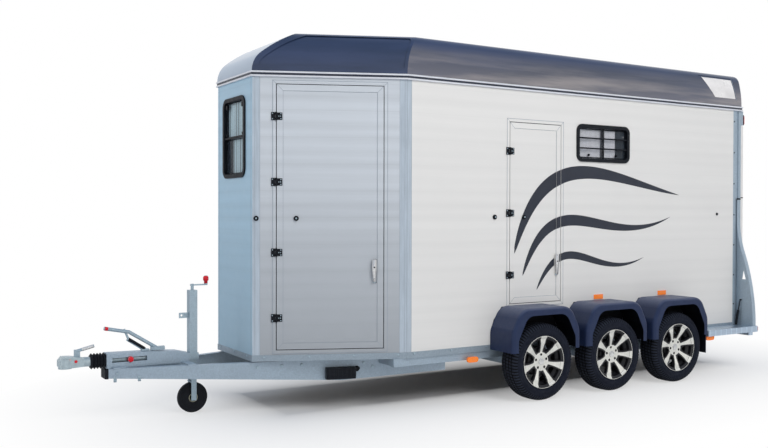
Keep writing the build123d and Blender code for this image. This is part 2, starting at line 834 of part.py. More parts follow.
def axle():
    """Rubber-sprung axle tube with trailing arms, back plates and stubs."""
    low = wall_bottom - rail_height
    end = half_width + 12
    tube = block(axle_lead - axle_tube / 2, axle_lead + axle_tube / 2, -end, end, low - axle_tube, low)
    arm_y0, arm_y1 = end, end + arm_thickness
    pivot_end = Pos(axle_lead, low - axle_tube / 2) * Circle(38)
    wheel_end = Pos(0, axle_z) * Circle(34)
    arm_face = make_hull(pivot_end.edges() + wheel_end.edges())
    arm_plane = Plane(origin=(0, arm_y1, 0), x_dir=(1, 0, 0), z_dir=(0, -1, 0))
    arm = arm_plane.location * extrude(arm_face, arm_thickness)
    drum_back_y = wheel_centre_y - 68
    boss = rod((0, arm_y1, axle_z), (0, drum_back_y, axle_z), 34)
    back = rod((0, drum_back_y - 6, axle_z), (0, drum_back_y, axle_z), drum_radius + 5)
    stub = rod((0, drum_back_y - 10, axle_z), (0, wheel_centre_y + 14, axle_z), stub_radius)
    side = gather([arm, boss, back, stub])
    return gather([tube, side, mirrored(side)])


def guard_arch(inset, y0, y1, edge_radius=0.0):
    """Rounded arch over one wheel as a solid, with its outer edge rounded if a radius is given."""
    w, top, low = guard_length / 2 - inset, guard_top - inset, guard_bottom - (inset > 0)
    radius = guard_corner_radius - inset / 2
    outline = [
        (-w, low), (-w, top - guard_shoulder), (-w + 95, top), (w - 95, top), (w, top - guard_shoulder), (w, low),
    ]
    face = make_face(Polyline(*outline, close=True))
    face = fillet(face.vertices().sort_by(Axis.Y)[2:], radius)
    plane = Plane(origin=(0, y1, 0), x_dir=(1, 0, 0), z_dir=(0, -1, 0))
    arch = plane.location * extrude(face, y1 - y0)
    if edge_radius:
        rim = [edge for edge in arch.faces().sort_by(Axis.Y)[-1].edges() if edge.center().Z > low + 1]
        arch = fillet(rim, edge_radius)
    return arch


def mudguard():
    """Moulded arch over one wheel, rolled over at its outer edge."""
    wall_y = half_width + skirt_thickness + seat_gap
    outer = guard_arch(0, wall_y, guard_outer_y, guard_edge_radius)
    inner = guard_arch(guard_wall, wall_y - 1, guard_outer_y - guard_wall, guard_edge_radius - guard_wall)
    return outer - inner - guard_arch(guard_band, guard_outer_y - 50, guard_outer_y + 1)


def mud_flap():
    """Rubber flap hanging from the rear edge of the last mudguard."""
    x = wheel_x(2) - guard_length / 2
    return block(x, x + guard_wall, half_width + 40, guard_outer_y - guard_edge_radius, flap_bottom_z, guard_bottom + 30)


def mudguards_left():
    return gather([Pos(wheel_x(i), 0, 0) * mudguard() for i in range(3)] + [mud_flap()])


def wheel_x(index):
    return first_axle_x - index * axle_pitch


# Rear

def barrels(x, z, radius, spans):
    """Hinge barrels along Y, one for each (start, end) span."""
    return [rod((x, start, z), (x, end, z), radius) for start, end in spans]


def rear_hinge_spans(half_width_middle, half_width_all):
    """Spans of the middle barrels and of the outer ones of the three rear hinges."""
    middle, outer = [], []
    for y in (-rear_hinge_y, 0.0, rear_hinge_y):
        middle.append((y - half_width_middle, y + half_width_middle))
        outer.append((y - half_width_all, y - half_width_middle - seat_gap))
        outer.append((y + half_width_middle + seat_gap, y + half_width_all))
    return middle, outer


def framed_field(low, high):
    """Shallow field that leaves a frame round a rear panel's outer face."""
    y = ramp_half_width - ramp_frame
    field = block(ramp_outer_x - 1, ramp_outer_x + ramp_recess, -y, y, low + ramp_frame, high - ramp_frame)
    return fillet(field.edges().filter_by(Axis.X), 30)


def ramp_lever(side):
    """Closing lever with its pivot plate on an upper corner of the ramp."""
    y, z = side * (ramp_half_width - ramp_frame / 2), ramp_top - 90
    plate = block(ramp_outer_x - 5, ramp_outer_x, y - 22, y + 22, z - 60, z + 60)
    pivot = rod((ramp_outer_x - 22, y, z), (ramp_outer_x, y, z), 12)
    lever = rod((ramp_outer_x - 18, y, z), (ramp_outer_x - 18, y, z - 190), 7)
    return gather([plate, pivot, lever])


def ramp():
    """Loading ramp with a framed face, closing levers and hinge barrels at its foot."""
    low = ramp_hinge_z + ramp_barrel + 1
    panel = block(ramp_outer_x, ramp_inner_x, -ramp_half_width, ramp_half_width, low, ramp_top)
    panel = panel - framed_field(low, ramp_top)
    outer = rear_hinge_spans(30, 75)[1]
    levers = [ramp_lever(side) for side in (-1, 1)]
    ears = [block(ramp_outer_x - 6, ramp_outer_x + 6, start, end, ramp_hinge_z, low + 60) for start, end in outer]
    return gather([panel] + levers + ears + barrels(ramp_outer_x, ramp_hinge_z, ramp_barrel, outer))


def ramp_hinge_fixed():
    """Arms from the sill to the ramp's hinge barrels."""
    middle = rear_hinge_spans(30, 75)[0]
    arms = [
        block(ramp_outer_x, rear_x, start, end, ramp_hinge_z - ramp_barrel, ramp_hinge_z) for start, end in middle
    ]
    return arms + barrels(ramp_outer_x, ramp_hinge_z, ramp_barrel, middle)


def rear_flap():
    """Upper flap with hinge straps on its outer face."""
    top = wall_top - header_height - door_gap
    panel = block(ramp_outer_x, ramp_inner_x, -ramp_half_width, ramp_half_width, flap_bottom, top)
    panel = panel - framed_field(flap_bottom, top)
    outer = rear_hinge_spans(20, 45)[1]
    straps = [block(ramp_outer_x - 4, ramp_outer_x, start, end, top - 60, top) for start, end in outer]
    webs = [block(flap_hinge_x, ramp_outer_x - 1, start, end, top - 3, top) for start, end in outer]
    return gather([panel] + straps + webs + barrels(flap_hinge_x, flap_hinge_z, hinge_knuckle, outer))


def flap_hinge_fixed():
    """Hinge straps on the header above the flap."""
    low, middle = wall_top - header_height, rear_hinge_spans(20, 45)[0]
    straps = [block(ramp_outer_x - 4, ramp_outer_x, start, end, low, low + 60) for start, end in middle]
    webs = [block(flap_hinge_x, ramp_outer_x - 1, start, end, low, low + 3) for start, end in middle]
    return straps + webs + barrels(flap_hinge_x, flap_hinge_z, hinge_knuckle, middle)


def rear_step():
    """Folded tread plates beside the rear of the body, joined by a beam below."""
    inner = half_width + skirt_thickness + seat_gap
    top = block(rear_x, step_front_x, inner, step_outer_y, step_top - step_sheet, step_top)
    fold = block(rear_x, step_front_x, step_outer_y - step_sheet, step_outer_y, step_top - step_fold, step_top)
    ends = [
        block(x, x + step_sheet, inner, step_outer_y, step_top - step_fold, step_top)
        for x in (rear_x, step_front_x - step_sheet)
    ]
    tread = gather([top, fold] + ends)
    low = wall_bottom - rail_height
    beam = block(rear_x + 60, rear_x + 120, -step_outer_y + 10, step_outer_y - 10, low, step_top - step_sheet)
    beam = beam - block(rear_x, 0, -inner, inner, wall_bottom, 500)
    return gather([tread, mirrored(tread), beam])


def plate_curve(offset):
    """Two tangent arcs from the step up to the post, as edges in (Y, Z), moved inwards."""
    foot, wall = step_top + seat_gap, half_width + plate_sheet
    rise, run = plate_curve_top - foot, plate_foot_y - wall
    bend = 2 * math.atan(run / rise)
    upper = plate_upper_radius
    lower = rise / math.sin(bend) - upper

    def low(angle):
        radius = lower - offset
        return (plate_foot_y - lower + radius * math.cos(angle), foot + radius * math.sin(angle))

    def high(angle):
        radius = upper + offset
        return (wall + upper - radius * math.cos(angle), plate_curve_top - radius * math.sin(angle))

    return [
        ThreePointArc(low(0), low(bend / 2), low(bend)),
        ThreePointArc(high(bend), high(bend / 2), high(0)),
    ]


def plate_area(offset):
    """Face between the curve and the wall's plane."""
    foot, wall = step_top + seat_gap, half_width - offset
    edges = plate_curve(offset)
    start, end = edges[0] @ 0, edges[1] @ 1
    edges += [
        Line(end, (wall, end.Y)),
        Line((wall, end.Y), (wall, foot)),
        Line((wall, foot), start),
    ]
    return make_face(edges)


def corner_plate():
    """Flanged plate that widens the rear corner towards the step in a slow S."""
    plane = Plane(origin=(plate_x, 0, 0), x_dir=(0, 1, 0), z_dir=(1, 0, 0))
    foot = step_top + seat_gap
    area = plate_area(0)
    eye_y = plate_foot_y - plate_strip - 40
    eye = make_face(Polyline((eye_y, 860), (eye_y - 40, 860), (eye_y - 25, 950), close=True))
    sheet = plane.location * Pos(0, 0, -plate_sheet) * extrude(area - eye, plate_sheet)
    flange = plane.location * Pos(0, 0, -plate_flange) * extrude(area - plate_area(plate_sheet), plate_flange)
    rail = block(plate_x - plate_flange, plate_x, half_width, half_width + plate_sheet, foot, plate_top)
    return gather([sheet, flange, rail])


def corner_strut():
    """Short gas strut between step and corner plate."""
    foot_y, eye_y = half_width + 22, half_width + 52
    foot, eye = (plate_x + 30, foot_y, step_top + 12), (plate_x + 12, eye_y, 660)
    return gather([
        rod(foot, (plate_x + 20, half_width + 38, 560), 11),
        rod((plate_x + 21, half_width + 37, 550), eye, 5),
        rod(eye, (plate_x + seat_gap, eye_y, eye[2]), 8),
        rod((foot[0], foot_y, step_top + seat_gap), (foot[0], foot_y, step_top + 16), 9),
    ])


# Lamps and small pieces

def side_lamps():
    """Amber side lamps on stalks and amber reflectors on the wall."""
    rail_y, rear_y = half_width - 15, half_width + 158
    front_x, rear_lamp_x, front_z, rear_z = -600.0, rear_x + 643, 342.0, 347.0
    front_stalk = block(front_x - 12, front_x + 12, rail_y + seat_gap, half_width + 13, front_z - 6, front_z + 10)
    bracket_top = step_top - step_sheet - seat_gap
    rear_stalk = block(rear_lamp_x - 12, rear_lamp_x + 12, rear_y - 28, rear_y + 0.5, rear_z + 5, bracket_top)
    pieces = [
        side_lamp(front_x, half_width + 12, front_z) + front_stalk,
        side_lamp(rear_lamp_x, rear_y, rear_z) + rear_stalk,
    ]
    for x in (wheel_x(1) - 48, wheel_x(2) - 61):
        pieces.append(block(x - 52, x + 52, half_width + seat_gap, half_width + 7, guard_top + 7, guard_top + 46))
    return gather(pieces + [mirrored(piece) for piece in pieces])


def side_lamp(x, y, z):
    return Pos(x, y, z) * Rot(-90, 0, 0) * extrude(SlotOverall(105, 44), 16)


def rear_lamps():
    marker_top = wall_top - 40
    marker = block(
        lamp_rear_x, ramp_outer_x - seat_gap, half_width - 50, half_width - 5, marker_top - 85, marker_top,
    )
    marker = fillet(marker.edges().filter_by(Axis.X), 12)
    cluster = block(
        rear_x - 26, rear_x - seat_gap, half_width + 22, half_width + 185, step_top - step_fold, step_top - 2,
    )
    cluster = fillet(cluster.edges().filter_by(Axis.X), 14)
    return both_sides(gather([marker, cluster]))


def wheel_chocks():
    """Folding wheel chock held against the beam."""
    start = 1560.0
    body = prism([(start, 240), (start + 225, 240), (start + 225, 325), (start, 325)], beam_plane, seat_gap, 60)
    return both_sides(body)


def build_nodes():
    side_names = ("left", "right")
    nodes = {
        "drawbar_beam_left": drawbar_beam(),
        "drawbar_beam_right": mirrored(drawbar_beam()),
        "chassis_frame": chassis_frame(),
        "overrun_housing": overrun_housing(),
        "coupling_head": coupling_head(),
        "coupling_handle": coupling_handle(),
        "gaiter": gather([gaiter(), drawbar_cap()]),
        "handbrake": handbrake(),
        "jockey_mast": jockey_mast(),
        "jockey_crank": jockey_crank(),
        "jockey_tube": jockey_tube(),
        "jockey_fork": jockey_fork(),
        "jockey_wheel": jockey_wheel(),
        "mudguards_left": mudguards_left(),
        "mudguards_right": mirrored(mudguards_left()),
        "floor": floor_deck(),
        "wall_left": left_side_wall(),
        "wall_right": right_side_wall(),
        "wall_front": front_wall_piece() - window_cut(windows[1]),
        "panel_left": left_angled_panel(),
        "panel_right": mirrored(plain_angled_panel()),
        "corner_posts": corner_posts(),
        "rear_frame": rear_frame(),
        "skirt": skirt_strip(),
        "gutter": gutter_ring(),
        "roof": roof_shell(),
        "window_frames": window_places(window_frame),
        "window_panes": window_places(window_pane),
        "door_hinges": fixed_hinges(),
        "ramp": ramp(),
        "rear_flap": rear_flap(),
        "rear_step": rear_step(),
        "corner_plates": both_sides(corner_plate()),
        "corner_struts": both_sides(corner_strut()),
        "side_lamps": side_lamps(),
        "rear_lamps": rear_lamps(),
        "wheel_chocks": wheel_chocks(),
    }
    for name, door in doors.items():
        nodes[name] = gather([door_leaf(door), door_handle(door)])
        nodes[name + "_hinges"] = moving_hinges(door)
    rim, tyre = wheel_rim(), wheel_tyre()
    for index, place in enumerate(("front", "middle", "rear")):
        nodes["axle_" + place] = Pos(wheel_x(index), 0, 0) * axle()
        for side in side_names:
            sign = 1 if side == "left" else -1
            seat = Pos(wheel_x(index), sign * wheel_centre_y, axle_z) * Rot(-90 * sign, 0, 0)
            nodes["rim_" + place + "_" + side] = seat * Rot(0, 0, spoke_turns[place] - 90 * sign) * rim
            nodes["tyre_" + place + "_" + side] = seat * tyre
    return nodes


os.makedirs("parts", exist_ok=True)
for node_name, shape in build_nodes().items():
    export_step(Pos(frame_shift, 0, 0) * shape, "parts/" + node_name + ".step")
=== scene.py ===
import math

import bmesh
import bpy
from mathutils import Matrix, Vector


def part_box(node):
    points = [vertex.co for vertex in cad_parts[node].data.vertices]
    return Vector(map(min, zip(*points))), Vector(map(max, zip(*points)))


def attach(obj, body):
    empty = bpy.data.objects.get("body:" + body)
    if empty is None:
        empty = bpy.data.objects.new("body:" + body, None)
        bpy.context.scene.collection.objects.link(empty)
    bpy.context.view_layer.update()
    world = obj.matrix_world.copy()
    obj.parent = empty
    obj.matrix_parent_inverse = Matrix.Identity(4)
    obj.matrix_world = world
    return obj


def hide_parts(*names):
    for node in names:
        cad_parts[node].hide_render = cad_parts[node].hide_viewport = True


# Three-axle horse trailer: finishes, graphics and fine pieces around the fixed frame, in metres
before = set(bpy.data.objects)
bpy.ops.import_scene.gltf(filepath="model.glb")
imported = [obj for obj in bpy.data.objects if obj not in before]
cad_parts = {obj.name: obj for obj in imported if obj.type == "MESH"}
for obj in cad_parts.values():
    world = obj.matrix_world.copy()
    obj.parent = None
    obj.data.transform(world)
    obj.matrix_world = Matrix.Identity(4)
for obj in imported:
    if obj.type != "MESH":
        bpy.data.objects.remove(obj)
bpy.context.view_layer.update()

# Places that the frame gives
corner_depth, skirt_lip = 0.04, 0.004
front_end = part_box("wall_left")[1].x + corner_depth
side_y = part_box("skirt")[1].y - skirt_lip
wall_low, wall_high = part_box("wall_left")[0].z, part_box("wall_left")[1].z
nose_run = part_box("wall_front")[1].x - front_end
nose_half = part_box("wall_front")[1].y
body_turn = math.atan2(side_y - nose_half, nose_run)
beam_front_x, beam_front_y, beam_turn = 2.02, 0.065, math.atan(0.262)
rear_face = -3.893
wheel_places = ("front", "middle", "rear")
wheel_centres = [sum(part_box("tyre_" + place + "_left"), Vector()) / 2 for place in wheel_places]
spoke_count = 7
wheel_turns = {"front": 0.0, "middle": 8.0, "rear": 180.0 / spoke_count}

# Doors along their walls, and the steps of their rims, gaps and trims
doors = {
    "front_door": dict(
        start=0.178, end=0.969, bottom=0.482, top=2.43, hinges=(0.714, 1.196, 1.714, 2.196),
        handle_in=0.071, handle_z=1.054, catch_in=0.142, holder_out=0.15, catch_z=1.447,
    ),
    "side_door": dict(
        start=0.985, end=1.525, bottom=0.76, top=2.222, hinges=(0.99, 1.49, 1.99),
        handle_in=0.05, handle_z=1.06, catch_in=0.145, holder_out=0.156, catch_z=1.458,
    ),
}
door_rim, door_gap, door_trim, door_proud = 0.045, 0.006, 0.026, 0.003

# Camera at the photograph's viewpoint
camera_place = (front_end + 3.6137, 6.428, 1.4779)
camera_yaw, camera_down, camera_roll = 31.2312, 0.6197, -0.1072
camera_lens, sensor = 41.84, 36.0

# Plank profile of the walls
plank_pitch = 0.1985
plank_joint = 0.062


# Shader nodes

finishes = {}


def maths(operation):
    """Operator that adds a maths node and gives its value."""
    return lambda first, *others: first.nodes.math(operation, first, *others)


class Value:
    """What a node gives, ready for sums, products and comparisons."""

    def __init__(self, nodes, socket):
        self.nodes, self.socket = nodes, socket

    __add__, __sub__, __mul__ = maths("ADD"), maths("SUBTRACT"), maths("MULTIPLY")
    __truediv__, __pow__, __abs__ = maths("DIVIDE"), maths("POWER"), maths("ABSOLUTE")
    __gt__, __lt__ = maths("GREATER_THAN"), maths("LESS_THAN")


class Nodes:
    """Short ways to add nodes to one tree."""

    def __init__(self, tree, coordinates):
        self.tree = tree
        self.place = self.out(self.add("ShaderNodeTexCoord"), coordinates)

    def add(self, kind, **settings):
        node = self.tree.nodes.new(kind)
        for name, value in settings.items():
            setattr(node, name, value)
        return node

    def out(self, node, output=0):
        return Value(self, node.outputs[output])

    def feed(self, socket, value):
        if isinstance(value, Value):
            self.tree.links.new(value.socket, socket)
        else:
            socket.default_value = value

    def feed_all(self, node, values):
        for socket, value in zip(node.inputs, values):
            self.feed(socket, value)
        return self.out(node)

    def math(self, operation, *values):
        return self.feed_all(self.add("ShaderNodeMath", operation=operation), values)

    def largest(self, first, *others):
        for other in others:
            first = self.math("MAXIMUM", first, other)
        return first

    def from_whole(self, value):
        """Signed distance to the nearest whole number."""
        positive_shift = 10.5
        return self.math("FRACT", value + positive_shift) - 0.5

    def axis(self, letter, place=None):
        split = self.add("ShaderNodeSeparateXYZ")
        self.feed(split.inputs[0], place or self.place)
        return self.out(split, letter)

    def span(self, value, low, high, to_low=0.0, to_high=1.0):
        return self.feed_all(self.add("ShaderNodeMapRange"), (value, low, high, to_low, to_high))


class Finish(Nodes):
    """A node-based material around one principled shader, kept in finishes under its name."""

    def __init__(self, name, roughness, metallic=0.0, **settings):
        self.material = bpy.data.materials.new(name)
        self.material.use_nodes = True
        super().__init__(self.material.node_tree, "Object")
        self.shader = self.tree.nodes["Principled BSDF"]
        self.shader.inputs["Roughness"].default_value = roughness
        self.shader.inputs["Metallic"].default_value = metallic
        for socket, value in settings.items():
            self.shader.inputs[socket.replace("_", " ")].default_value = value
        self.relief = None
        finishes[name] = self.material

    def facing(self, letter):
        """One component of the surface's normal."""
        return self.axis(letter, self.out(self.add("ShaderNodeNewGeometry"), "Normal"))

    def texture(self, kind, scale, stretch):
        mapping = self.add("ShaderNodeMapping")
        self.feed(mapping.inputs["Vector"], self.place)
        mapping.inputs["Scale"].default_value = stretch
        node = self.add(kind)
        self.feed(node.inputs["Vector"], self.out(mapping))
        node.inputs["Scale"].default_value = scale
        return node

    def noise(self, scale, detail=3.0, stretch=(1.0, 1.0, 1.0)):
        node = self.texture("ShaderNodeTexNoise", scale, stretch)
        node.inputs["Detail"].default_value = detail
        node.inputs["Roughness"].default_value = 0.55
        return self.out(node, "Fac")

    def patches(self, scale, detail=3.0, low=0.3, high=0.7, stretch=(1.0, 1.0, 1.0)):
        """Noise with its middle range spread over 0 to 1."""
        return self.span(self.noise(scale, detail, stretch), low, high)

    def cells(self, scale, stretch):
        return self.out(self.texture("ShaderNodeTexVoronoi", scale, stretch), "Distance")

    def mix(self, factor, a, b):
        node = self.add("ShaderNodeMix", data_type="RGBA")
        self.feed(node.inputs[0], factor)
        for socket, value in ((node.inputs[6], a), (node.inputs[7], b)):
            self.feed(socket, (*value, 1.0) if isinstance(value, tuple) else value)
        return self.out(node, 2)

    def shades(self, factor, colour, first, second):
        """Blend between two brightnesses of one colour."""
        return self.mix(factor, shade(colour, first), shade(colour, second))

    def colour(self, value):
        self.feed(self.shader.inputs["Base Color"], value)

    def rough(self, scale, smoothest, roughest, spread=0.2, detail=4.0):
        """Uneven gloss that follows a noise."""
        patches = self.noise(scale, detail)
        value = self.span(patches, 0.5 - spread, 0.5 + spread, smoothest, roughest)
        self.feed(self.shader.inputs["Roughness"], value)

    def bump(self, height, strength, distance):
        node = self.add("ShaderNodeBump")
        self.feed(node.inputs["Height"], height)
        node.inputs["Strength"].default_value = strength
        node.inputs["Distance"].default_value = distance
        if self.relief:
            self.feed(node.inputs["Normal"], self.relief)
        self.relief = self.out(node)
        self.feed(self.shader.inputs["Normal"], self.relief)


def shade(colour, factor):
    """Colour made darker or brighter."""
    return tuple(min(1.0, channel * factor) for channel in colour)


def plank_finish(name, colour, relief, foot_shade=1.0):
    """Painted aluminium planks, two shallow bulges each, with painted shade under the bulges and, if asked,
    towards the floor.
    """
    f = Finish(name, 0.45)
    up = (f.axis("Z") - plank_joint) / plank_pitch
    half = f.math("FRACT", up * 2.0)
    bulge = f.math("SINE", half * math.pi) ** 0.5
    from_middle = abs(f.math("FRACT", up) - 0.5)
    joint = f.span(from_middle, 0.485, 0.5, 1.0, 0.0)
    streaks = f.noise(6.0, 4.0, (0.25, 0.25, 9.0))
    swell = f.noise(3.2, 2.0, (0.02, 0.02, 1.9))
    lit = swell * 0.7 + streaks * 0.3
    tone = f.shades(f.span(lit, 0.35, 0.65), colour, 1.0 - 0.07 * relief, 1.0 + 0.05 * relief)
    stain = f.patches(1.7, 5.0, 0.35, 0.75, (1.0, 1.0, 0.6))
    tone = f.mix(stain * 0.05, tone, shade(colour, 0.8))
    tone = f.mix(joint, shade(colour, 1.0 - 0.1 * relief), tone)
    # Painted shade: a dark line in the crease under each bulge, stronger in some places than in others.
    painted_shade_wave = f.math("SINE", (half - 0.2) * (2 * math.pi))
    spread = f.span(f.noise(2.3, 1.0, (0.05, 0.05, 1.0)), 0.35, 0.65, 0.3, 1.0)
    under = f.span(painted_shade_wave, -1.0, 1.0, 1.0, 0.0) * spread * (0.13 * relief)
    tone = f.mix(under, tone, shade(colour, 0.35))
    # Painted shade: the wall grows darker towards the floor.
    if foot_shade < 1.0:
        rise = f.span(f.axis("Z"), wall_low, wall_low + 1.5)
        tone = f.mix(rise, shade(colour, foot_shade), tone)
    f.colour(tone)
    f.rough(14.0, 0.38, 0.52)
    f.bump(bulge * joint, 0.3 * relief, 0.002)
    f.bump(f.noise(220.0, 2.0, (0.3, 0.3, 1.0)), 0.04, 0.0004)


def metal_finish(name, colour, roughness, brushed=(1.0, 1.0, 1.0), spangle=0.0, dull=0.0):
    """Bare or galvanised metal with fine brushing and a mottled spangle."""
    f = Finish(name, roughness, 1.0 - dull)
    grain = f.noise(90.0, 5.0, brushed)
    tone = f.shades(f.span(grain, 0.3, 0.7), colour, 0.88, 1.08)
    if spangle:
        flakes = f.span(f.cells(95.0, (1.0, 1.0, 0.55)), 0.0, 0.9)
        tone = f.mix(flakes * spangle, tone, shade(colour, 0.62))
    cloud = f.patches(4.0, 5.0, 0.4)
    f.colour(f.mix(cloud * 0.25, tone, shade(colour, 0.75)))
    f.rough(30.0, roughness - 0.08, roughness + 0.12, 0.25)
    f.bump(grain, 0.06, 0.0006)


def moulded_finish(name, colour, roughness, grain, grain_scale=420.0, coat=0.0):
    """Moulded plastic or rubber with a fine grain and slightly greyed patches."""
    f = Finish(name, roughness, Coat_Weight=coat, Coat_Roughness=0.08, Specular_IOR_Level=0.2)
    patches = f.patches(7.0, 5.0, 0.35, 0.75)
    f.colour(f.mix(patches * 0.4, colour, shade(colour, 1.55)))
    f.rough(25.0, roughness - 0.07, roughness + 0.1)
    f.bump(f.noise(grain_scale), grain, 0.0006)


def guard_finish():
    """Navy moulded plastic, greyer on top as painted light and nearly black inside the arches as painted
    shade.
    """
    f = Finish("guard_plastic", 0.45, Specular_IOR_Level=0.3)
    navy, worn = (0.012, 0.023, 0.066), (0.022, 0.036, 0.088)
    top, inside = (0.085, 0.102, 0.165), (0.003, 0.004, 0.008)
    middle = wheel_centres[1]
    pitch = wheel_centres[0].x - middle.x
    x = f.from_whole((f.axis("X") - middle.x) / pitch) * pitch
    z = f.axis("Z") - middle.z
    up = f.facing("Z")
    outwards = x * f.facing("X") + z * up
    patches = f.patches(7.0, 5.0, 0.35, 0.75)
    # Painted light: faces turned upwards blend to a lighter grey-blue.
    tone = f.mix(f.span(up, 0.35, 0.95), f.mix(patches * 0.4, navy, worn), top)
    # Painted shade: faces turned towards the axle, inside the arches, go nearly black.
    f.colour(f.mix(f.span(outwards, -0.06, -0.02), inside, tone))
    f.rough(25.0, 0.38, 0.55)
    f.bump(f.noise(300.0), 0.5, 0.0006)


def roof_finish():
    """Navy gel coat over the moulding, with a painted pale reflection on the front facet and a painted hazy
    reflection low on the sides.
    """
    f = Finish("roof_gloss", 0.28, Coat_Weight=0.35, Coat_Roughness=0.06, Specular_IOR_Level=0.35)
    f.shader.inputs["Coat IOR"].default_value = 1.45
    navy, deep = (0.028, 0.046, 0.105), (0.015, 0.029, 0.066)
    pale, painted_haze = (0.44, 0.54, 0.66), (0.34, 0.31, 0.3)
    height, ahead, across = f.axis("Z"), f.facing("X"), abs(f.facing("Y"))
    tone = f.mix(f.patches(1.6, 5.0, 0.38, 0.66, (0.35, 1.0, 3.5)), deep, navy)
    # Painted reflection: the front facet is pale, brighter higher up.
    nose_reflection = f.span(across, 0.05, 0.09, 1.0, 0.0) * f.span(ahead, 0.1, 0.2)
    tone = f.mix(nose_reflection, tone, f.shades(f.span(height, 2.55, 2.85), pale, 0.85, 1.15))
    # Painted reflection: streaky haze low on the side facets.
    side = f.span(across, 0.3, 0.5) * f.span(abs(ahead), 0.05, 0.12, 1.0, 0.0)
    cloud = f.patches(3.4, 6.0, 0.42, 0.68, (0.22, 0.0, 3.2))
    side_reflection = side * f.span(height, 2.5, 2.78, 1.0, 0.0) * (cloud * 0.75 + 0.35)
    f.colour(f.mix(side_reflection, tone, painted_haze))
    f.bump(f.noise(3.0, 2.0, (0.5, 1.0, 1.0)), 0.05, 0.004)


def tread_plate_finish(name, colour):
    """Aluminium plate with raised diagonal bars in both directions."""
    f = Finish(name, 0.35, 0.9)
    x, y = f.axis("X"), f.axis("Y")
    bars = []
    for sign in (1.0, -1.0):
        slope, other = x + y * sign, x - y * sign
        thin, short = f.math("SINE", slope * 170.0) > 0.72, f.math("SINE", other * 85.0) > 0.1 * sign
        bars.append(thin * short)
    raised = f.largest(*bars)
    f.colour(f.shades(raised * 0.5, colour, 0.85, 1.2))
    f.bump(raised, 0.6, 0.0015)
    f.bump(f.noise(120.0, 4.0), 0.05, 0.0005)


def gutter_finish():
    """Bright extruded lips with a dark groove between them."""
    f = Finish("gutter_bright", 0.35, 0.3)
    low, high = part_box("gutter")[0].z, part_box("gutter")[1].z
    from_middle = abs(f.span(f.axis("Z"), low, high) - 0.5)
    groove = from_middle < 0.2
    grain = f.patches(40.0, 4.0, stretch=(0.2, 0.2, 4.0))
    lips = f.mix(grain, (0.6, 0.62, 0.68), (0.74, 0.76, 0.8))
    f.colour(f.mix(groove, lips, (0.03, 0.035, 0.055)))
    f.bump(grain, 0.05, 0.0004)


def glass_finish(name, colour, alpha):
    """Thin tinted glass, slightly uneven."""
    f = Finish(name, 0.04, Alpha=alpha, Coat_Weight=0.4)
    f.colour(f.shades(f.patches(3.0), colour, 1.0, 1.25))
    f.bump(f.noise(2.5, 1.0), 0.03, 0.003)


def lamp_finish(name, colour):
    """Clear coloured lens over a ribbed reflector."""
    # Faint glow of the lens; on the coupling mark, which shares this finish, the glow is painted light.
    f = Finish(name, 0.12, Coat_Weight=0.6, Coat_Roughness=0.03, Emission_Strength=0.25)
    f.shader.inputs["Emission Color"].default_value = (*colour, 1.0)
    ribs = f.math("SINE", (f.axis("X") + f.axis("Z")) * 900.0)
    f.colour(f.shades(f.span(ribs, -1.0, 1.0), colour, 0.75, 1.1))
    f.bump(ribs, 0.15, 0.0006)


def board_finish():
    """Film-faced floor board with faint grain."""
    f = Finish("floor_board", 0.6)
    grain = f.noise(20.0, 6.0, (0.15, 1.0, 1.0))
    f.colour(f.mix(f.span(grain, 0.3, 0.7), (0.05, 0.03, 0.018), (0.12, 0.075, 0.045)))
    f.bump(grain, 0.1, 0.001)


def rim_finish(place):
    """Alloy wheel: bright machined spokes and lip, black paint between them and deeper down."""
    f = Finish("rim_alloy_" + place, 0.32, 0.7)
    hub_radius, lip_radius, face_out = 0.074, 0.2045, 0.036
    spoke_half, spoke_flare = 0.0118, 0.0195
    centre = wheel_centres[wheel_places.index(place)]
    x = f.axis("X") - centre.x
    z = (f.axis("Z") - centre.z) * -1.0
    side = f.math("SIGN", f.axis("Y"))
    radius = f.math("SQRT", x * x + z * z)
    angle = f.math("ARCTAN2", z * side, x) + side * math.radians(90)
    step = 2 * math.pi / spoke_count
    steps = (angle - math.radians(wheel_turns[place])) / step
    sideways = abs(f.from_whole(steps)) * step * radius
    flare = f.span(radius, 0.085, 0.198) ** 1.5
    half = flare * spoke_flare + spoke_half
    bright = f.largest(sideways < half, radius < hub_radius, radius > lip_radius)
    outside, frontal = abs(f.axis("Y")) > centre.y + face_out, abs(f.facing("Y")) > 0.62
    face = frontal * outside * bright
    rings = f.noise(60.0, 4.0)
    metal = f.mix(f.span(rings, 0.3, 0.7), (0.72, 0.71, 0.65), (0.84, 0.83, 0.77))
    f.colour(f.mix(face, (0.006, 0.006, 0.008), metal))
    f.feed(f.shader.inputs["Metallic"], face * 0.45)
    f.feed(f.shader.inputs["Roughness"], f.span(face, 0.0, 1.0, 0.5, 0.34))
    f.bump(rings, 0.03, 0.0004)


def tyre_finish():
    """Tyre rubber, slightly greyed, with a fine grain."""
    f = Finish("tyre_rubber", 0.7, Specular_IOR_Level=0.22)
    dusty = f.patches(9.0, 6.0, 0.35, 0.75)
    f.colour(f.mix(dusty * 0.6, (0.004, 0.006, 0.013), (0.011, 0.014, 0.026)))
    f.rough(40.0, 0.6, 0.85)
    f.bump(f.noise(260.0, 4.0), 0.15, 0.0008)


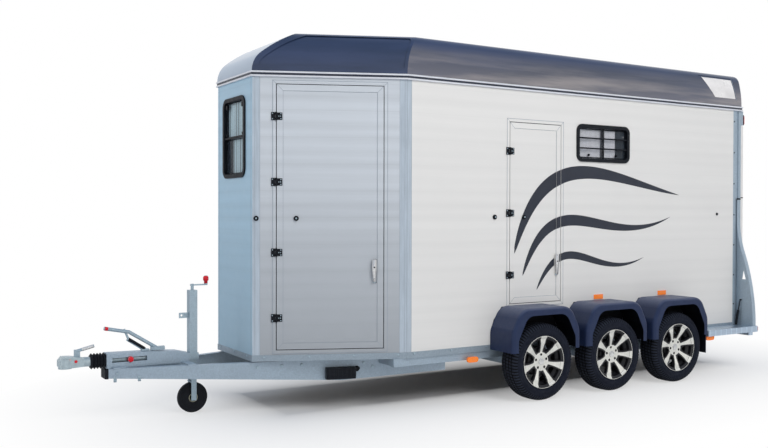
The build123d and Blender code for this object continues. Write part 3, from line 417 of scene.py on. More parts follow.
def cloth_finish(name, colour, pleat=0.0):
    """Woven cloth with a fine thread pattern, darker patches of painted fold shade, and painted shade
    stripes for upright pleats if asked.
    """
    f = Finish(name, 0.85)
    # Painted shade: darker patches at random for loose folds.
    folds = f.patches(3.0, 4.0)
    tone = f.mix(folds * 0.35, colour, shade(colour, 0.75))
    if pleat:
        # Painted shade: darker stripes along the pleats.
        painted_shade_wave = f.math("SINE", f.axis("Y") * (2 * math.pi / pleat))
        tone = f.mix(f.span(painted_shade_wave, 0.2, 1.0, 0.0, 0.8), tone, shade(colour, 0.3))
    f.colour(tone)
    f.bump(f.math("SINE", f.axis("Z") * 1800.0), 0.05, 0.0004)


def film_finish(name, colour, roughness):
    """Cut vinyl film, a little uneven in gloss."""
    f = Finish(name, roughness)
    f.colour(f.shades(f.patches(5.0, 4.0), colour, 0.9, 1.12))
    f.rough(12.0, roughness - 0.06, roughness + 0.08, detail=3.0)
    f.bump(f.noise(260.0, 2.0), 0.03, 0.0003)


plank_finish("wall_white", (0.745, 0.735, 0.715), 0.36)
plank_finish("wall_silver", (0.59, 0.63, 0.675), 1.0, 0.59)
plank_finish("wall_blue", (0.43, 0.62, 0.75), 0.8, 0.84)
metal_finish("post_silver", (0.49, 0.56, 0.63), 0.45, (1.0, 1.0, 0.05), dull=0.6)
metal_finish("galvanised", (0.4, 0.49, 0.57), 0.45, spangle=0.2, dull=0.5)
metal_finish("skirt_steel", (0.34, 0.41, 0.47), 0.45, spangle=0.15, dull=0.5)
metal_finish("zinc", (0.4, 0.5, 0.56), 0.36, dull=0.35)
metal_finish("cast_zinc", (0.48, 0.57, 0.6), 0.38, (0.4, 0.4, 0.4), dull=0.45)
gutter_finish()
guard_finish()
moulded_finish("black_plastic", (0.005, 0.0065, 0.01), 0.5, 0.2)
moulded_finish("black_rubber", (0.007, 0.008, 0.011), 0.6, 0.2)
moulded_finish("hub_cream", (0.52, 0.5, 0.36), 0.45, 0.1, 200.0)
moulded_finish("red_plastic", (0.62, 0.008, 0.018), 0.3, 0.1, 200.0, 0.4)
roof_finish()
tread_plate_finish("tread_plate", (0.62, 0.74, 0.86))
glass_finish("window_glass", (0.1, 0.13, 0.17), 0.14)
lamp_finish("lamp_amber", (0.86, 0.19, 0.004))
lamp_finish("lamp_red", (0.45, 0.012, 0.012))
board_finish()
moulded_finish("joint_dark", (0.055, 0.06, 0.07), 0.7, 0.1)
moulded_finish("joint_grey", (0.28, 0.32, 0.37), 0.6, 0.1)
cloth_finish("blind_cloth", (0.74, 0.95, 1.0), pleat=0.043)
cloth_finish("curtain", (0.86, 0.86, 0.9))
film_finish("band_graphite", (0.013, 0.017, 0.03), 0.45)
film_finish("field_pale", (0.78, 0.76, 0.75), 0.3)
for wheel_place in wheel_places:
    rim_finish(wheel_place)
metal_finish("cap_silver", (0.7, 0.7, 0.69), 0.3, dull=0.5)
tyre_finish()
moulded_finish("tyre_blocks", (0.017, 0.021, 0.033), 0.75, 0.3, 260.0)
# Darker rubber for the tyre's cuts and grooves: painted shade.
moulded_finish("tyre_cut_shade", (0.0015, 0.002, 0.003), 0.8, 0.2, 260.0)

node_finishes = {
    "wall_white": "side_door ramp rear_flap",
    "wall_silver": "front_door",
    "wall_blue": "wall_front",
    "skirt_steel": "skirt",
    "post_silver": "corner_posts",
    "galvanised": "chassis_frame overrun_housing corner_plates rear_frame",
    "cast_zinc": "coupling_head",
    "zinc": "coupling_handle handbrake jockey_mast jockey_crank jockey_tube jockey_fork",
    "gutter_bright": "gutter",
    "black_plastic": "window_frames door_hinges wheel_chocks corner_struts",
    "black_rubber": "gaiter jockey_wheel",
    "roof_gloss": "roof",
    "tread_plate": "rear_step",
    "window_glass": "window_panes",
    "lamp_amber": "side_lamps",
    "lamp_red": "rear_lamps",
    "floor_board": "floor",
}
side_finishes = {
    "wall": "wall_white", "panel": "wall_silver", "drawbar_beam": "galvanised", "mudguards": "guard_plastic",
}


def dress(name, finish):
    """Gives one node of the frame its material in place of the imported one."""
    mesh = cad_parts[name].data
    mesh.materials.clear()
    mesh.materials.append(finishes[finish])


def dress_nodes():
    """Gives every node of the frame its material."""
    for finish, names in node_finishes.items():
        for name in names.split():
            dress(name, finish)
    for door_name in doors:
        dress(door_name + "_hinges", "black_plastic")
    for place in wheel_places:
        dress("axle_" + place, "galvanised")
    for side in ("_left", "_right"):
        for name, finish in side_finishes.items():
            dress(name + side, finish)
        for place in wheel_places:
            dress("rim_" + place + side, "rim_alloy_" + place)
            dress("tyre_" + place + side, "tyre_rubber")


# Mesh building

def at(x, y, z):
    """Point given from the floor below the front end of the side walls."""
    return Vector((front_end + x, y, z))


def wall_place(x, y, turn):
    """Matrix with the first axis along a wall, the second up and the third outwards."""
    along, out = (-math.cos(turn), math.sin(turn), 0.0), (math.sin(turn), math.cos(turn), 0.0)
    columns = Matrix((along, (0.0, 0.0, 1.0), out)).transposed().to_4x4()
    return Matrix.Translation(at(x, y, 0.0)) @ columns


left_wall = wall_place(0.0, side_y, 0.0)
angled_wall = wall_place(nose_run, nose_half, body_turn)
front_wall = wall_place(nose_run, 0.0, math.pi / 2)
beam_side = wall_place(beam_front_x, beam_front_y, beam_turn)
rear_wall = wall_place(rear_face, 0.0, -math.pi / 2)
outward = Matrix.Rotation(-math.pi / 2, 4, "X")


class Piece:
    """Collects simple forms into one mesh, each placed by a matrix."""

    def __init__(self, place=None):
        self.form = bmesh.new()
        self.place = place or Matrix()

    def box(self, low, high, bevel=0.0):
        low, high = Vector(low), Vector(high)
        matrix = self.place @ Matrix.Translation((low + high) / 2) @ Matrix.Diagonal((*(high - low), 1.0))
        made = bmesh.ops.create_cube(self.form, size=1.0, matrix=matrix)["verts"]
        if bevel:
            edges = list(dict.fromkeys(edge for vert in made for edge in vert.link_edges))
            bmesh.ops.bevel(self.form, geom=edges, offset=bevel, segments=2, affect="EDGES", profile=0.5)
        return self

    def pad(self, middle, half, low, high, bevel=0.0):
        """Box given by its middle and half sizes on the wall and by its two levels."""
        (x, z), (half_x, half_z) = middle, half
        return self.box((x - half_x, z - half_z, low), (x + half_x, z + half_z, high), bevel)

    def turned(self, profile, centre=(0, 0, 0), segments=24, turn=None):
        """Rings of (radius, height) about the third axis, closed at both ends."""
        matrix = self.place @ Matrix.Translation(centre) @ (turn or Matrix())
        angles = [2 * math.pi * i / segments for i in range(segments)]
        rings = []
        for radius, height in profile:
            points = [Vector((radius * math.cos(a), radius * math.sin(a), height)) for a in angles]
            rings.append([self.form.verts.new(matrix @ point) for point in points])
        for lower, upper in zip(rings, rings[1:]):
            self.band(lower, upper)
        self.form.faces.new(rings[-1])
        self.form.faces.new(list(reversed(rings[0])))
        return self

    def band(self, lower, upper):
        """Closed band of faces between two rings of corners."""
        for i in range(len(lower)):
            j = (i + 1) % len(lower)
            self.form.faces.new((lower[i], lower[j], upper[j], upper[i]))

    def knob(self, centre, radius, depth, segments=24):
        """Low round button with a softened rim."""
        soft = min(radius, depth) * 0.35
        rim = [(radius, depth - soft), (radius - soft * 0.3, depth - soft * 0.3), (radius - soft, depth)]
        return self.turned([(radius, 0.0)] + rim, centre, segments)

    def knobs(self, centres, size):
        """Like buttons, with their radius, depth and segments as the size."""
        for centre in centres:
            self.knob(centre, *size)
        return self

    def prism(self, points, low, high):
        """Polygon on the first two axes, raised along the third."""
        base = [self.form.verts.new(self.place @ Vector((x, y, low))) for x, y in points]
        top = [self.form.verts.new(self.place @ Vector((x, y, high))) for x, y in points]
        self.band(base, top)
        self.form.faces.new(top)
        self.form.faces.new(list(reversed(base)))
        return self

    def surface(self, rows):
        """Grid of points as one sheet."""
        grid = [[self.form.verts.new(self.place @ Vector(point)) for point in row] for row in rows]
        for first, second in zip(grid, grid[1:]):
            for i in range(len(first) - 1):
                self.form.faces.new((first[i], first[i + 1], second[i + 1], second[i]))
        return self

    def rod(self, start, end, radius):
        """Round rod with softened ends."""
        along = end - start
        turn = along.to_track_quat("Z", "Y").to_matrix().to_4x4()
        length, soft = along.length, radius * 0.35
        profile = [(radius - soft, 0), (radius, soft), (radius, length - soft), (radius - soft, length)]
        return self.turned(profile, start, turn=turn)

    def mirror_right(self):
        """Adds the same forms on the right side."""
        copy = bmesh.ops.duplicate(self.form, geom=list(self.form.faces))["geom"]
        for vert in copy:
            if isinstance(vert, bmesh.types.BMVert):
                vert.co.y = -vert.co.y
        faces = [item for item in copy if isinstance(item, bmesh.types.BMFace)]
        bmesh.ops.reverse_faces(self.form, faces=faces)
        return self

    def done(self, name, finish, body="trailer", crease=35.0):
        """Turns the collected forms into an object on one body."""
        smooth_mesh(self.form, crease)
        mesh = bpy.data.meshes.new(name)
        self.form.to_mesh(mesh)
        self.form.free()
        mesh.materials.append(finishes[finish])
        thing = bpy.data.objects.new(name, mesh)
        bpy.context.scene.collection.objects.link(thing)
        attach(thing, body)


def smooth_mesh(form, crease):
    """Smooth faces, with sharp edges where they meet at more than the crease angle or end."""
    for face in form.faces:
        face.smooth = True
    for edge in form.edges:
        edge.smooth = len(edge.link_faces) == 2 and edge.calc_face_angle(0.0) < math.radians(crease)


# Wheels

def tyre_profile():
    """Half section of the tyre from bead to tread centre: radius, offset and share of the cuts."""
    return [
        (0.1915, 0.074, 0), (0.2085, 0.0775, 0), (0.2105, 0.088, 0), (0.216, 0.0925, 0),
        (0.219, 0.0905, 0), (0.228, 0.094, 0), (0.24, 0.097, 0), (0.252, 0.0972, 0),
        (0.254, 0.0962, 0), (0.264, 0.0958, 0), (0.266, 0.0964, 0), (0.276, 0.0935, 0.3),
        (0.286, 0.0875, 1), (0.296, 0.079, 1), (0.302, 0.068, 1), (0.305, 0.058, 1),
        (0.3058, 0.054, 1), (0.299, 0.0525, 0), (0.299, 0.0475, 0), (0.3068, 0.046, 0.5),
        (0.3076, 0.023, 0.5), (0.3, 0.0215, 0), (0.3, 0.0165, 0), (0.3078, 0.015, 0.35),
        (0.308, 0.0, 0.35),
    ]


def tyre_mesh():
    """Treaded tyre about the Y axis: rows of blocks with cut shoulders."""
    blocks, steps, cut_depth, lean = 76, 5, 0.005, 0.35
    block_radius, groove_radius, groove_half = 0.2755, 0.296, 0.055
    count = blocks * steps
    half = tyre_profile()
    section = half + [(radius, -offset, cut) for radius, offset, cut in reversed(half[:-1])]

    def in_cut(i, offset):
        """Whether a ring lies in a cut, which comes two steps later on the inner side."""
        return (i + (2 if offset < 0 else 0)) % steps == 0

    form = bmesh.new()
    rings = []
    for i in range(count):
        ring = []
        for radius, offset, cut in section:
            r = radius - (cut_depth * cut if in_cut(i, offset) else 0.0)
            angle = 2 * math.pi * i / count + abs(offset) * lean
            ring.append(form.verts.new((r * math.sin(angle), offset, r * math.cos(angle))))
        rings.append(ring)
    for i in range(count):
        near, far = rings[i], rings[(i + 1) % count]
        for j, (radius, offset, cut) in enumerate(section[:-1]):
            face = form.faces.new((near[j], near[j + 1], far[j + 1], far[j]))
            sunk = cut and (in_cut(i, offset) or in_cut(i + 1, offset))
            groove = radius > groove_radius and abs(offset) < groove_half and cut == 0
            # Faces in the cuts and middle grooves take the darker finish as painted shade; the tread faces
            # take a greyer one.
            face.material_index = 2 if sunk or groove else 1 if radius > block_radius else 0
        form.faces.new((near[-1], near[0], far[0], far[-1]))
    bmesh.ops.recalc_face_normals(form, faces=form.faces)
    smooth_mesh(form, 28.0)
    mesh = bpy.data.meshes.new("treaded_tyre")
    form.to_mesh(mesh)
    form.free()
    for finish in ("tyre_rubber", "tyre_blocks", "tyre_cut_shade"):
        mesh.materials.append(finishes[finish])
    return mesh


def build_wheels():
    """Treaded tyres, hub caps and wheel bolts on all six wheels."""
    tyre = tyre_mesh()
    cap_profile = [(0.026, 0.049), (0.0265, 0.0525), (0.023, 0.054), (0.022, 0.053)]
    bolt_profile = [(0.0085, 0.0), (0.0085, 0.0045), (0.0075, 0.006)]
    bolt_count, bolt_circle, bolt_level = 5, 0.056, 0.0375
    for place, centre in zip(wheel_places, wheel_centres):
        for side, sign in (("left", 1), ("right", -1)):
            body = "wheel_" + place + "_" + side
            middle = Vector((centre.x, sign * centre.y, centre.z))
            shown = bpy.data.objects.new("tyre_tread_" + place + "_" + side, tyre)
            turn = Matrix.Rotation(0 if sign > 0 else math.pi, 4, "Z")
            shown.matrix_world = Matrix.Translation(middle) @ turn
            bpy.context.scene.collection.objects.link(shown)
            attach(shown, body)
            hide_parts("tyre_" + place + "_" + side)
            facing = Matrix.Translation(middle) @ Matrix.Rotation(-sign * math.pi / 2, 4, "X")
            cap = Piece(facing).turned(cap_profile, segments=40)
            cap.done("hub_cap_" + place + "_" + side, "cap_silver", body)
            bolts = Piece(facing)
            for i in range(bolt_count):
                angle = math.radians(i * 360 / bolt_count + wheel_turns[place] - 90 * sign)
                spot = (bolt_circle * math.cos(angle), bolt_circle * math.sin(angle), bolt_level)
                bolts.turned(bolt_profile, spot, 6)
            bolts.done("wheel_bolts_" + place + "_" + side, "black_plastic", body)


# Doors

def leaf_outline(door):
    """Rectangle of a door's leaf as start, end, bottom and top."""
    return door["start"], door["end"], door["bottom"], door["top"]


def grown(outline, by):
    """The same rectangle, moved outwards on all sides."""
    start, end, bottom, top = outline
    return start - by, end + by, bottom - by, top + by


def mitre_lines(piece, outline, reach, level):
    """Thin diagonal joints inwards from the corners of a mitred frame."""
    start, end, bottom, top = outline
    half, thickness = 0.0009, 0.0003
    corners = ((start, bottom, 1, 1), (end, bottom, -1, 1), (end, top, -1, -1), (start, top, 1, -1))
    for x, z, dx, dz in corners:
        far_x, far_z = x + dx * reach, z + dz * reach
        points = [(x - half * dx, z + half * dz), (x + half * dx, z - half * dz)]
        points += [(far_x + half * dx, far_z - half * dz), (far_x - half * dx, far_z + half * dz)]
        if dx * dz > 0:
            points.reverse()
        piece.prism(points, level, level + thickness)


def ring_lines(piece, outline, width, level, thickness=0.0004, bevel=0.0):
    """Rectangular frame of four bars."""
    start, end, bottom, top = outline
    for low, high in (((start, bottom), (end, bottom + width)), ((start, top - width), (end, top)),
                      ((start, bottom), (start + width, top)), ((end - width, bottom), (end, top))):
        piece.box((*low, level), (*high, level + thickness), bevel)


def build_door(name, door, wall):
    """Joints of the rim and of the frame around one door, its seal, and all that sits on it."""
    leaf = leaf_outline(door)
    frame_outline = grown(leaf, door_gap + door_trim)
    inner_line, joint_width, frame_line = 0.0015, 0.004, 0.0034
    joint_level, seal_level = -0.0008, -0.008
    joints = Piece(wall)
    mitre_lines(joints, leaf, door_rim, door_proud)
    ring_lines(joints, grown(leaf, inner_line - door_rim), joint_width, joint_level)
    joints.done(name + "_joints", "joint_grey", name)
    frame_joints = Piece(wall)
    mitre_lines(frame_joints, frame_outline, door_trim, door_proud)
    ring_lines(frame_joints, frame_outline, frame_line, door_proud)
    frame_joints.done(name + "_frame_joints", "joint_grey")
    seal = Piece(wall)
    ring_lines(seal, grown(leaf, door_gap), door_gap - 0.001, seal_level)
    seal.done(name + "_seal", "black_rubber")
    build_hinge_parts(name, door, wall)
    disc = (0.0065, 0.0015, 20)
    catch, holder = door["start"] + door["catch_in"], door["start"] - door["holder_out"]
    Piece(wall).knob((catch, door["catch_z"], 0.0145), *disc).done(name + "_catch_centre", "zinc", name)
    Piece(wall).knob((holder, door["catch_z"], 0.0158), *disc).done(name + "_holder_centre", "zinc")
    build_handle(name, door, wall)


def build_hinge_parts(name, door, wall):
    """Plates and screws of one door's hinges, on the leaf and on the frame beside it."""
    fixed, moving, leaves = Piece(wall), Piece(wall), Piece(wall)
    screw, small_screw = (0.0046, 0.0018, 12), (0.0042, 0.0018, 12)
    edge, low, high = door["start"], 0.0062, 0.007
    for z in door["hinges"]:
        leaves.pad((edge + 0.0225, z), (0.0185, 0.027), 0.0032, 0.0064, 0.002)
        moving.knobs([(edge + 0.03, z + rise, low) for rise in (-0.0185, 0.0185)], screw)
        fixed.knobs([(edge - 0.032, z + rise, high) for rise in (-0.02, 0.02)], screw)
        moving.knobs([(edge + along, z, high) for along in (0.015, 0.028)], small_screw)
    fixed.done(name + "_screws_fixed", "zinc")
    moving.done(name + "_screws_moving", "zinc", name)
    leaves.done(name + "_hinge_leaves", "black_plastic", name)


def build_handle(name, door, wall):
    """Tapering bright cover on the lever with a dark base plate that shows on its right as painted shade,
    and the lock below it.
    """
    x, z = door["end"] - door["handle_in"], door["handle_z"]
    # Painted shade: the dark plate sticks out on the right of the lever.
    base = Piece(wall).pad((x + 0.00675, z), (0.01275, 0.0895), -0.0012, 0.0022, 0.003)
    base.done(name + "_handle_shade_plate", "joint_dark", name)
    half = [(-0.0135, 0.088), (-0.0165, 0.08), (-0.0165, 0.012), (-0.0085, -0.072), (-0.004, -0.08)]
    outline = [(-across, up) for across, up in half] + half[::-1]
    lever = Piece(wall).prism([(x + across, z + up) for across, up in outline], 0.0125, 0.0268)
    lever.done(name + "_lever", "cap_silver", name)
    keyhole = Piece(wall).knob((x, z + 0.03, 0.0262), 0.0062, 0.0016, 16)
    keyhole.done(name + "_keyhole", "black_plastic", name)
    lock = Piece(wall).knob((x, z - 0.078, 0.0045), 0.0095, 0.002)
    lock.pad((x, z - 0.078), (0.0014, 0.005), 0.0062, 0.0068)
    lock.knobs([(x + 0.011, z + rise, 0.0045) for rise in (-0.0835, 0.08)], (0.003, 0.0012, 10))
    lock.done(name + "_lock", "zinc", name)


# Windows

def build_front_window():
    """Sliding sashes, latches and a pleated blind in the front window, with a black sheet behind the blind
    as painted shade.
    """
    half, bottom, top = 0.19, 1.783, 2.338
    middle = (bottom + top) / 2
    folds, fold_depth, blind_level, open_gap = 11, 0.011, -0.036, 0.095
    blind = Piece(front_wall)
    for start, low, high in ((-half, middle, top), (-half + open_gap, bottom, middle)):
        rows = []
        for i in range(folds * 2 + 1):
            across = start + (half - start) * i / (folds * 2)
            depth = blind_level + (fold_depth if i % 2 else 0.0)
            rows.append([(across, low, depth), (across, high, depth)])
        blind.surface(rows)
    blind.done("front_window_blind", "blind_cloth", crease=5.0)
    # Painted shade: a black sheet behind the lower blind darkens the open gap beside it.
    overlap = 0.03
    shade_sheet = Piece(front_wall)
    shade_sheet.box((-half - overlap, bottom - overlap, -0.056), (half + overlap, middle, -0.052), 0.001)
    shade_sheet.done("front_window_shade_sheet", "black_rubber")
    edge, meeting, width = 0.004, 0.008, 0.006
    sash = Piece(front_wall)
    for low, high in ((bottom + edge, middle - meeting), (middle + meeting, top - edge)):
        ring_lines(sash, (-half + edge, half - edge, low, high), width, -0.015, 0.006, 0.0015)
    sash.done("front_window_sashes", "black_plastic")
    latches = Piece(front_wall)
    latch_x = half - 0.034
    for x in (-latch_x, latch_x):
        latches.pad((x, top - 0.035), (0.016, 0.017), -0.014, 0.004, 0.003)
        latches.pad((x, middle + 0.025), (0.009, 0.011), -0.012, 0.002, 0.003)
    latches.done("front_window_latches", "black_plastic")


def build_side_windows():
    """Pale curtain, sliding sashes and knobs in the side windows."""
    start, end, bottom, top = 1.733, 2.297, 1.96, 2.22
    middle = (start + end) / 2
    steps, open_gap, level, ripple, ripple_step = 48, 0.115, -0.0275, 0.0012, 1.1
    rows = []
    for i in range(steps + 1):
        along = start + (end - open_gap - start) * i / steps
        depth = level + ripple * math.sin(i * ripple_step)
        rows.append([(along, bottom, depth), (along, top, depth)])
    Piece(left_wall).surface(rows).mirror_right().done("side_window_curtain", "curtain")
    knobs = Piece(left_wall)
    knob_in, knob_up, depth = 0.12, 0.03, 0.013
    knobs.knobs([(x, bottom + knob_up, -depth) for x in (end - knob_in, start + knob_in)], (0.01, depth, 20))
    knobs.mirror_right().done("side_window_knobs", "black_plastic")
    edge, meeting, width = 0.004, 0.006, 0.009
    sash = Piece(left_wall)
    for near, far in ((start + edge, middle - meeting), (middle + meeting, end - edge)):
        ring_lines(sash, (near, far, bottom + edge, top - edge), width, -0.0148, 0.0043, 0.0012)
    sash.mirror_right().done("side_window_sashes", "black_plastic")


# Graphics

skin_level = 0.0005
door_steps = (
    (door_rim, "side_door", -0.0004),
    (0.0, "side_door", 0.0035),
    (-door_gap, None, 0.0),
    (-door_gap - door_trim, "trailer", 0.0035),
)


def curve_point(knots, t):
    """Point and tangent of a cubic curve through four control points."""
    s = 1 - t
    point = [s ** 3 * a + 3 * s * s * t * b + 3 * s * t * t * c + t ** 3 * d for a, b, c, d in zip(*knots)]
    slope = [3 * s * s * (b - a) + 6 * s * t * (c - b) + 3 * t * t * (d - c) for a, b, c, d in zip(*knots)]
    length = math.hypot(*slope)
    return point, (slope[0] / length, slope[1] / length)


def decal_level(along, height):
    """Which body a decal cell lies on and how far out its surface is; nothing over gaps."""
    start, end, bottom, top = leaf_outline(doors["side_door"])
    inside = min(along - start, end - along, height - bottom, top - height)
    for step, body, level in door_steps:
        if inside > step:
            return body, level
    return "trailer", skin_level


def band_sheet(knots, width):
    """Flat tapering band as a mesh in wall coordinates, cut where the door's steps cross it."""
    form = bmesh.new()
    steps, rows, tip_half = 150, 4, 0.0004
    shares = [2 * j / rows - 1 for j in range(rows + 1)]
    grid = []
    for i in range(steps + 1):
        t = i / steps
        (x, z), (dx, dz) = curve_point(knots, t)
        half = width * math.sin(math.pi * t ** 0.72) ** 0.8 if 0 < t < 1 else tip_half
        grid.append([form.verts.new((x - dz * half * k, z + dx * half * k, 0.0)) for k in shares])
    for first, second in zip(grid, grid[1:]):
        for j in range(rows):
            form.faces.new((first[j], second[j], second[j + 1], first[j + 1]))
    for step, _, _ in door_steps:
        start, end, bottom, top = grown(leaf_outline(doors["side_door"]), -step)
        upright, level = (1, 0, 0), (0, 1, 0)
        for point, normal in (
            ((start, 0, 0), upright), ((end, 0, 0), upright), ((0, bottom, 0), level), ((0, top, 0), level),
        ):
            geometry = list(form.verts) + list(form.edges) + list(form.faces)
            bmesh.ops.bisect_plane(form, geom=geometry, plane_co=point, plane_no=normal)
    return form


def build_bands():
    """Three tapering bands that sweep across the door and the side, in separate sheets for each body."""
    bands = [
        (((1.03, 1.16), (1.34, 2.16), (2.04, 1.8), (2.98, 1.66)), 0.058),
        (((1.12, 0.98), (1.46, 1.86), (2.02, 1.12), (2.86, 1.46)), 0.046),
        (((1.27, 0.86), (1.6, 1.46), (1.92, 0.86), (2.52, 1.1)), 0.032),
    ]
    left = {"trailer": Piece(left_wall), "side_door": Piece(left_wall)}
    right = Piece(Matrix.Diagonal((1, -1, 1, 1)) @ left_wall)

    def add_cell(piece, corners, level):
        verts = [piece.form.verts.new(piece.place @ Vector((x, z, level))) for x, z in corners]
        piece.form.faces.new(verts)

    for knots, width in bands:
        sheet = band_sheet(knots, width)
        for face in sheet.faces:
            middle = face.calc_center_median()
            body, level = decal_level(middle.x, middle.y)
            corners = [(vert.co.x, vert.co.y) for vert in face.verts]
            if body:
                add_cell(left[body], corners, level)
            add_cell(right, corners[::-1], skin_level)
        sheet.free()
    for body, piece in left.items():
        piece.done("bands_left_" + body, "band_graphite", body)
    right.done("bands_right", "band_graphite")


# Roof field

def roof_side_depth(height, inset):
    """How far the side facet lies inwards at a height above the gutter."""
    large, small, rise = 0.9, 0.095, 0.3097
    lean = math.asin((rise - small) / (large - small))
    if height < large * math.sin(lean):
        return large - math.sqrt((large - inset) ** 2 - height ** 2)
    centre_x, centre_z = large - (large - small) * math.cos(lean), (large - small) * math.sin(lean)
    return centre_x - math.sqrt((small - inset) ** 2 - (height - centre_z) ** 2)


def build_badge_field():
    """Blank pale panel in the slanted field near the roof's rear end."""
    gutter_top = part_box("gutter")[1].z
    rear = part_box("roof")[0].x
    edge_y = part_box("roof")[1].y
    low, high, sunk = 0.072, 0.254, 0.0012
    front_low, front_high, back_low, back_high = 0.38, 0.538, 0.086, 0.116
    rows_up, rows_along = 24, 12
    rows = []
    for i in range(rows_up + 1):
        share = i / rows_up
        height = low + (high - low) * share
        x0 = rear + front_low + (front_high - front_low) * share
        x1 = rear + back_low + (back_high - back_low) * share
        y = edge_y - roof_side_depth(height, sunk)
        xs = [x0 + (x1 - x0) * j / rows_along for j in range(rows_along + 1)]
        rows.append([(x, y, gutter_top + height) for x in xs])
    Piece().surface(rows).mirror_right().done("roof_field_panels", "field_pale", crease=60.0)


# Small fittings

def build_bolts():
    """Bolt heads on skirt and beams, screws of the rear posts and a stud on each side."""
    skirt_bolt, skirt_level = (0.0085, 0.005, 14), 0.004
    skirt = Piece(angled_wall)
    skirt.knobs([(0.087 + 0.331 * i, 0.428, skirt_level) for i in range(4)], skirt_bolt)
    skirt.place = left_wall
    side_bolts = [0.062 + 0.345 * i for i in range(3)] + [3.3]
    skirt.knobs([(along, 0.43, skirt_level) for along in side_bolts], skirt_bolt)
    skirt.mirror_right()
    skirt.place = front_wall
    skirt.knobs([(across, 0.428, skirt_level) for across in (-0.28, 0.0, 0.26)], skirt_bolt)
    skirt.done("skirt_bolts", "zinc")
    beam_bolts = ((1.05, 0.35), (1.23, 0.352), (1.38, 0.352), (1.86, 0.345), (1.93, 0.315), (0.06, 0.352))
    hexagon = [(0.0115, 0.0), (0.0115, 0.0065), (0.0095, 0.0085)]
    beam = Piece(beam_side)
    for along, height in beam_bolts:
        beam.turned(hexagon, (along, height, 0.0), 6)
    beam.mirror_right().done("beam_bolts", "zinc")
    post_x, heights = 3.755, (0.62, 0.9, 1.19, 1.48, 1.78, 2.08, 2.38)
    posts = Piece(left_wall).knobs([(post_x, height, 0.0) for height in heights], (0.0075, 0.003, 12))
    posts.mirror_right().done("post_screws", "joint_dark")
    stud = Piece(left_wall).knob((3.505, 1.487, 0.0), 0.013, 0.008, 20)
    stud.mirror_right().done("side_studs", "black_plastic")


def build_rear_hardware():
    """Galvanised hinge plates with bolts on ramp and flap, plates under the closing levers, seam buffers."""
    ramp, flap, ramp_bolts, flap_bolts = (Piece(rear_wall) for _ in range(4))
    hinges, lever_x, buffer_x, ramp_reach, flap_reach = (-0.56, 0.0, 0.56), 0.765, 0.769, 0.05325, 0.033
    for middle in hinges:
        for side in (-1, 1):
            x = middle + side * ramp_reach
            ramp.pad((x, 0.5045), (0.02125, 0.0285), 0.0058, 0.0069, 0.0004)
            ramp_bolts.knobs([(x, height, 0.0065) for height in (0.489, 0.518)], (0.0065, 0.0035, 12))
            x = middle + side * flap_reach
            flap.pad((x, 2.312), (0.0115, 0.026), 0.0038, 0.0049, 0.0004)
            flap_bolts.knobs([(x, height, 0.0045) for height in (2.297, 2.322)], (0.005, 0.003, 12))
    buffers = Piece(rear_wall)
    for side in (-1, 1):
        x = side * lever_x
        ramp.pad((x, 1.552), (0.0225, 0.06), 0.0048, 0.0058, 0.0004)
        ramp_bolts.knobs([(x, height, 0.0055) for height in (1.504, 1.6)], (0.0055, 0.003, 12))
        buffers.pad((side * buffer_x, 1.6471), (0.021, 0.0049), -0.03, 0.012, 0.002)
    buffers.done("seam_buffers", "black_rubber", "ramp")
    build_plate_caps()
    ramp.done("ramp_plates", "galvanised", "ramp")
    flap.done("flap_plates", "galvanised", "rear_flap")
    ramp_bolts.done("ramp_bolts", "zinc", "ramp")
    flap_bolts.done("flap_bolts", "zinc", "rear_flap")


def build_plate_caps():
    """Plastic caps on the upper ends of the corner plates."""
    plate_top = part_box("corner_plates")[1].z
    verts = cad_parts["corner_plates"].data.vertices
    crown = [vert.co for vert in verts if vert.co.z > plate_top - 0.01 and vert.co.y > 0]
    xs, ys = [co.x for co in crown], [co.y for co in crown]
    low = (min(xs) - 0.002, min(ys) + 0.001, plate_top - 0.004)
    high = (max(xs) + 0.002, max(ys) + 0.003, plate_top + 0.01)
    Piece().box(low, high, 0.002).mirror_right().done("corner_plate_caps", "black_plastic")


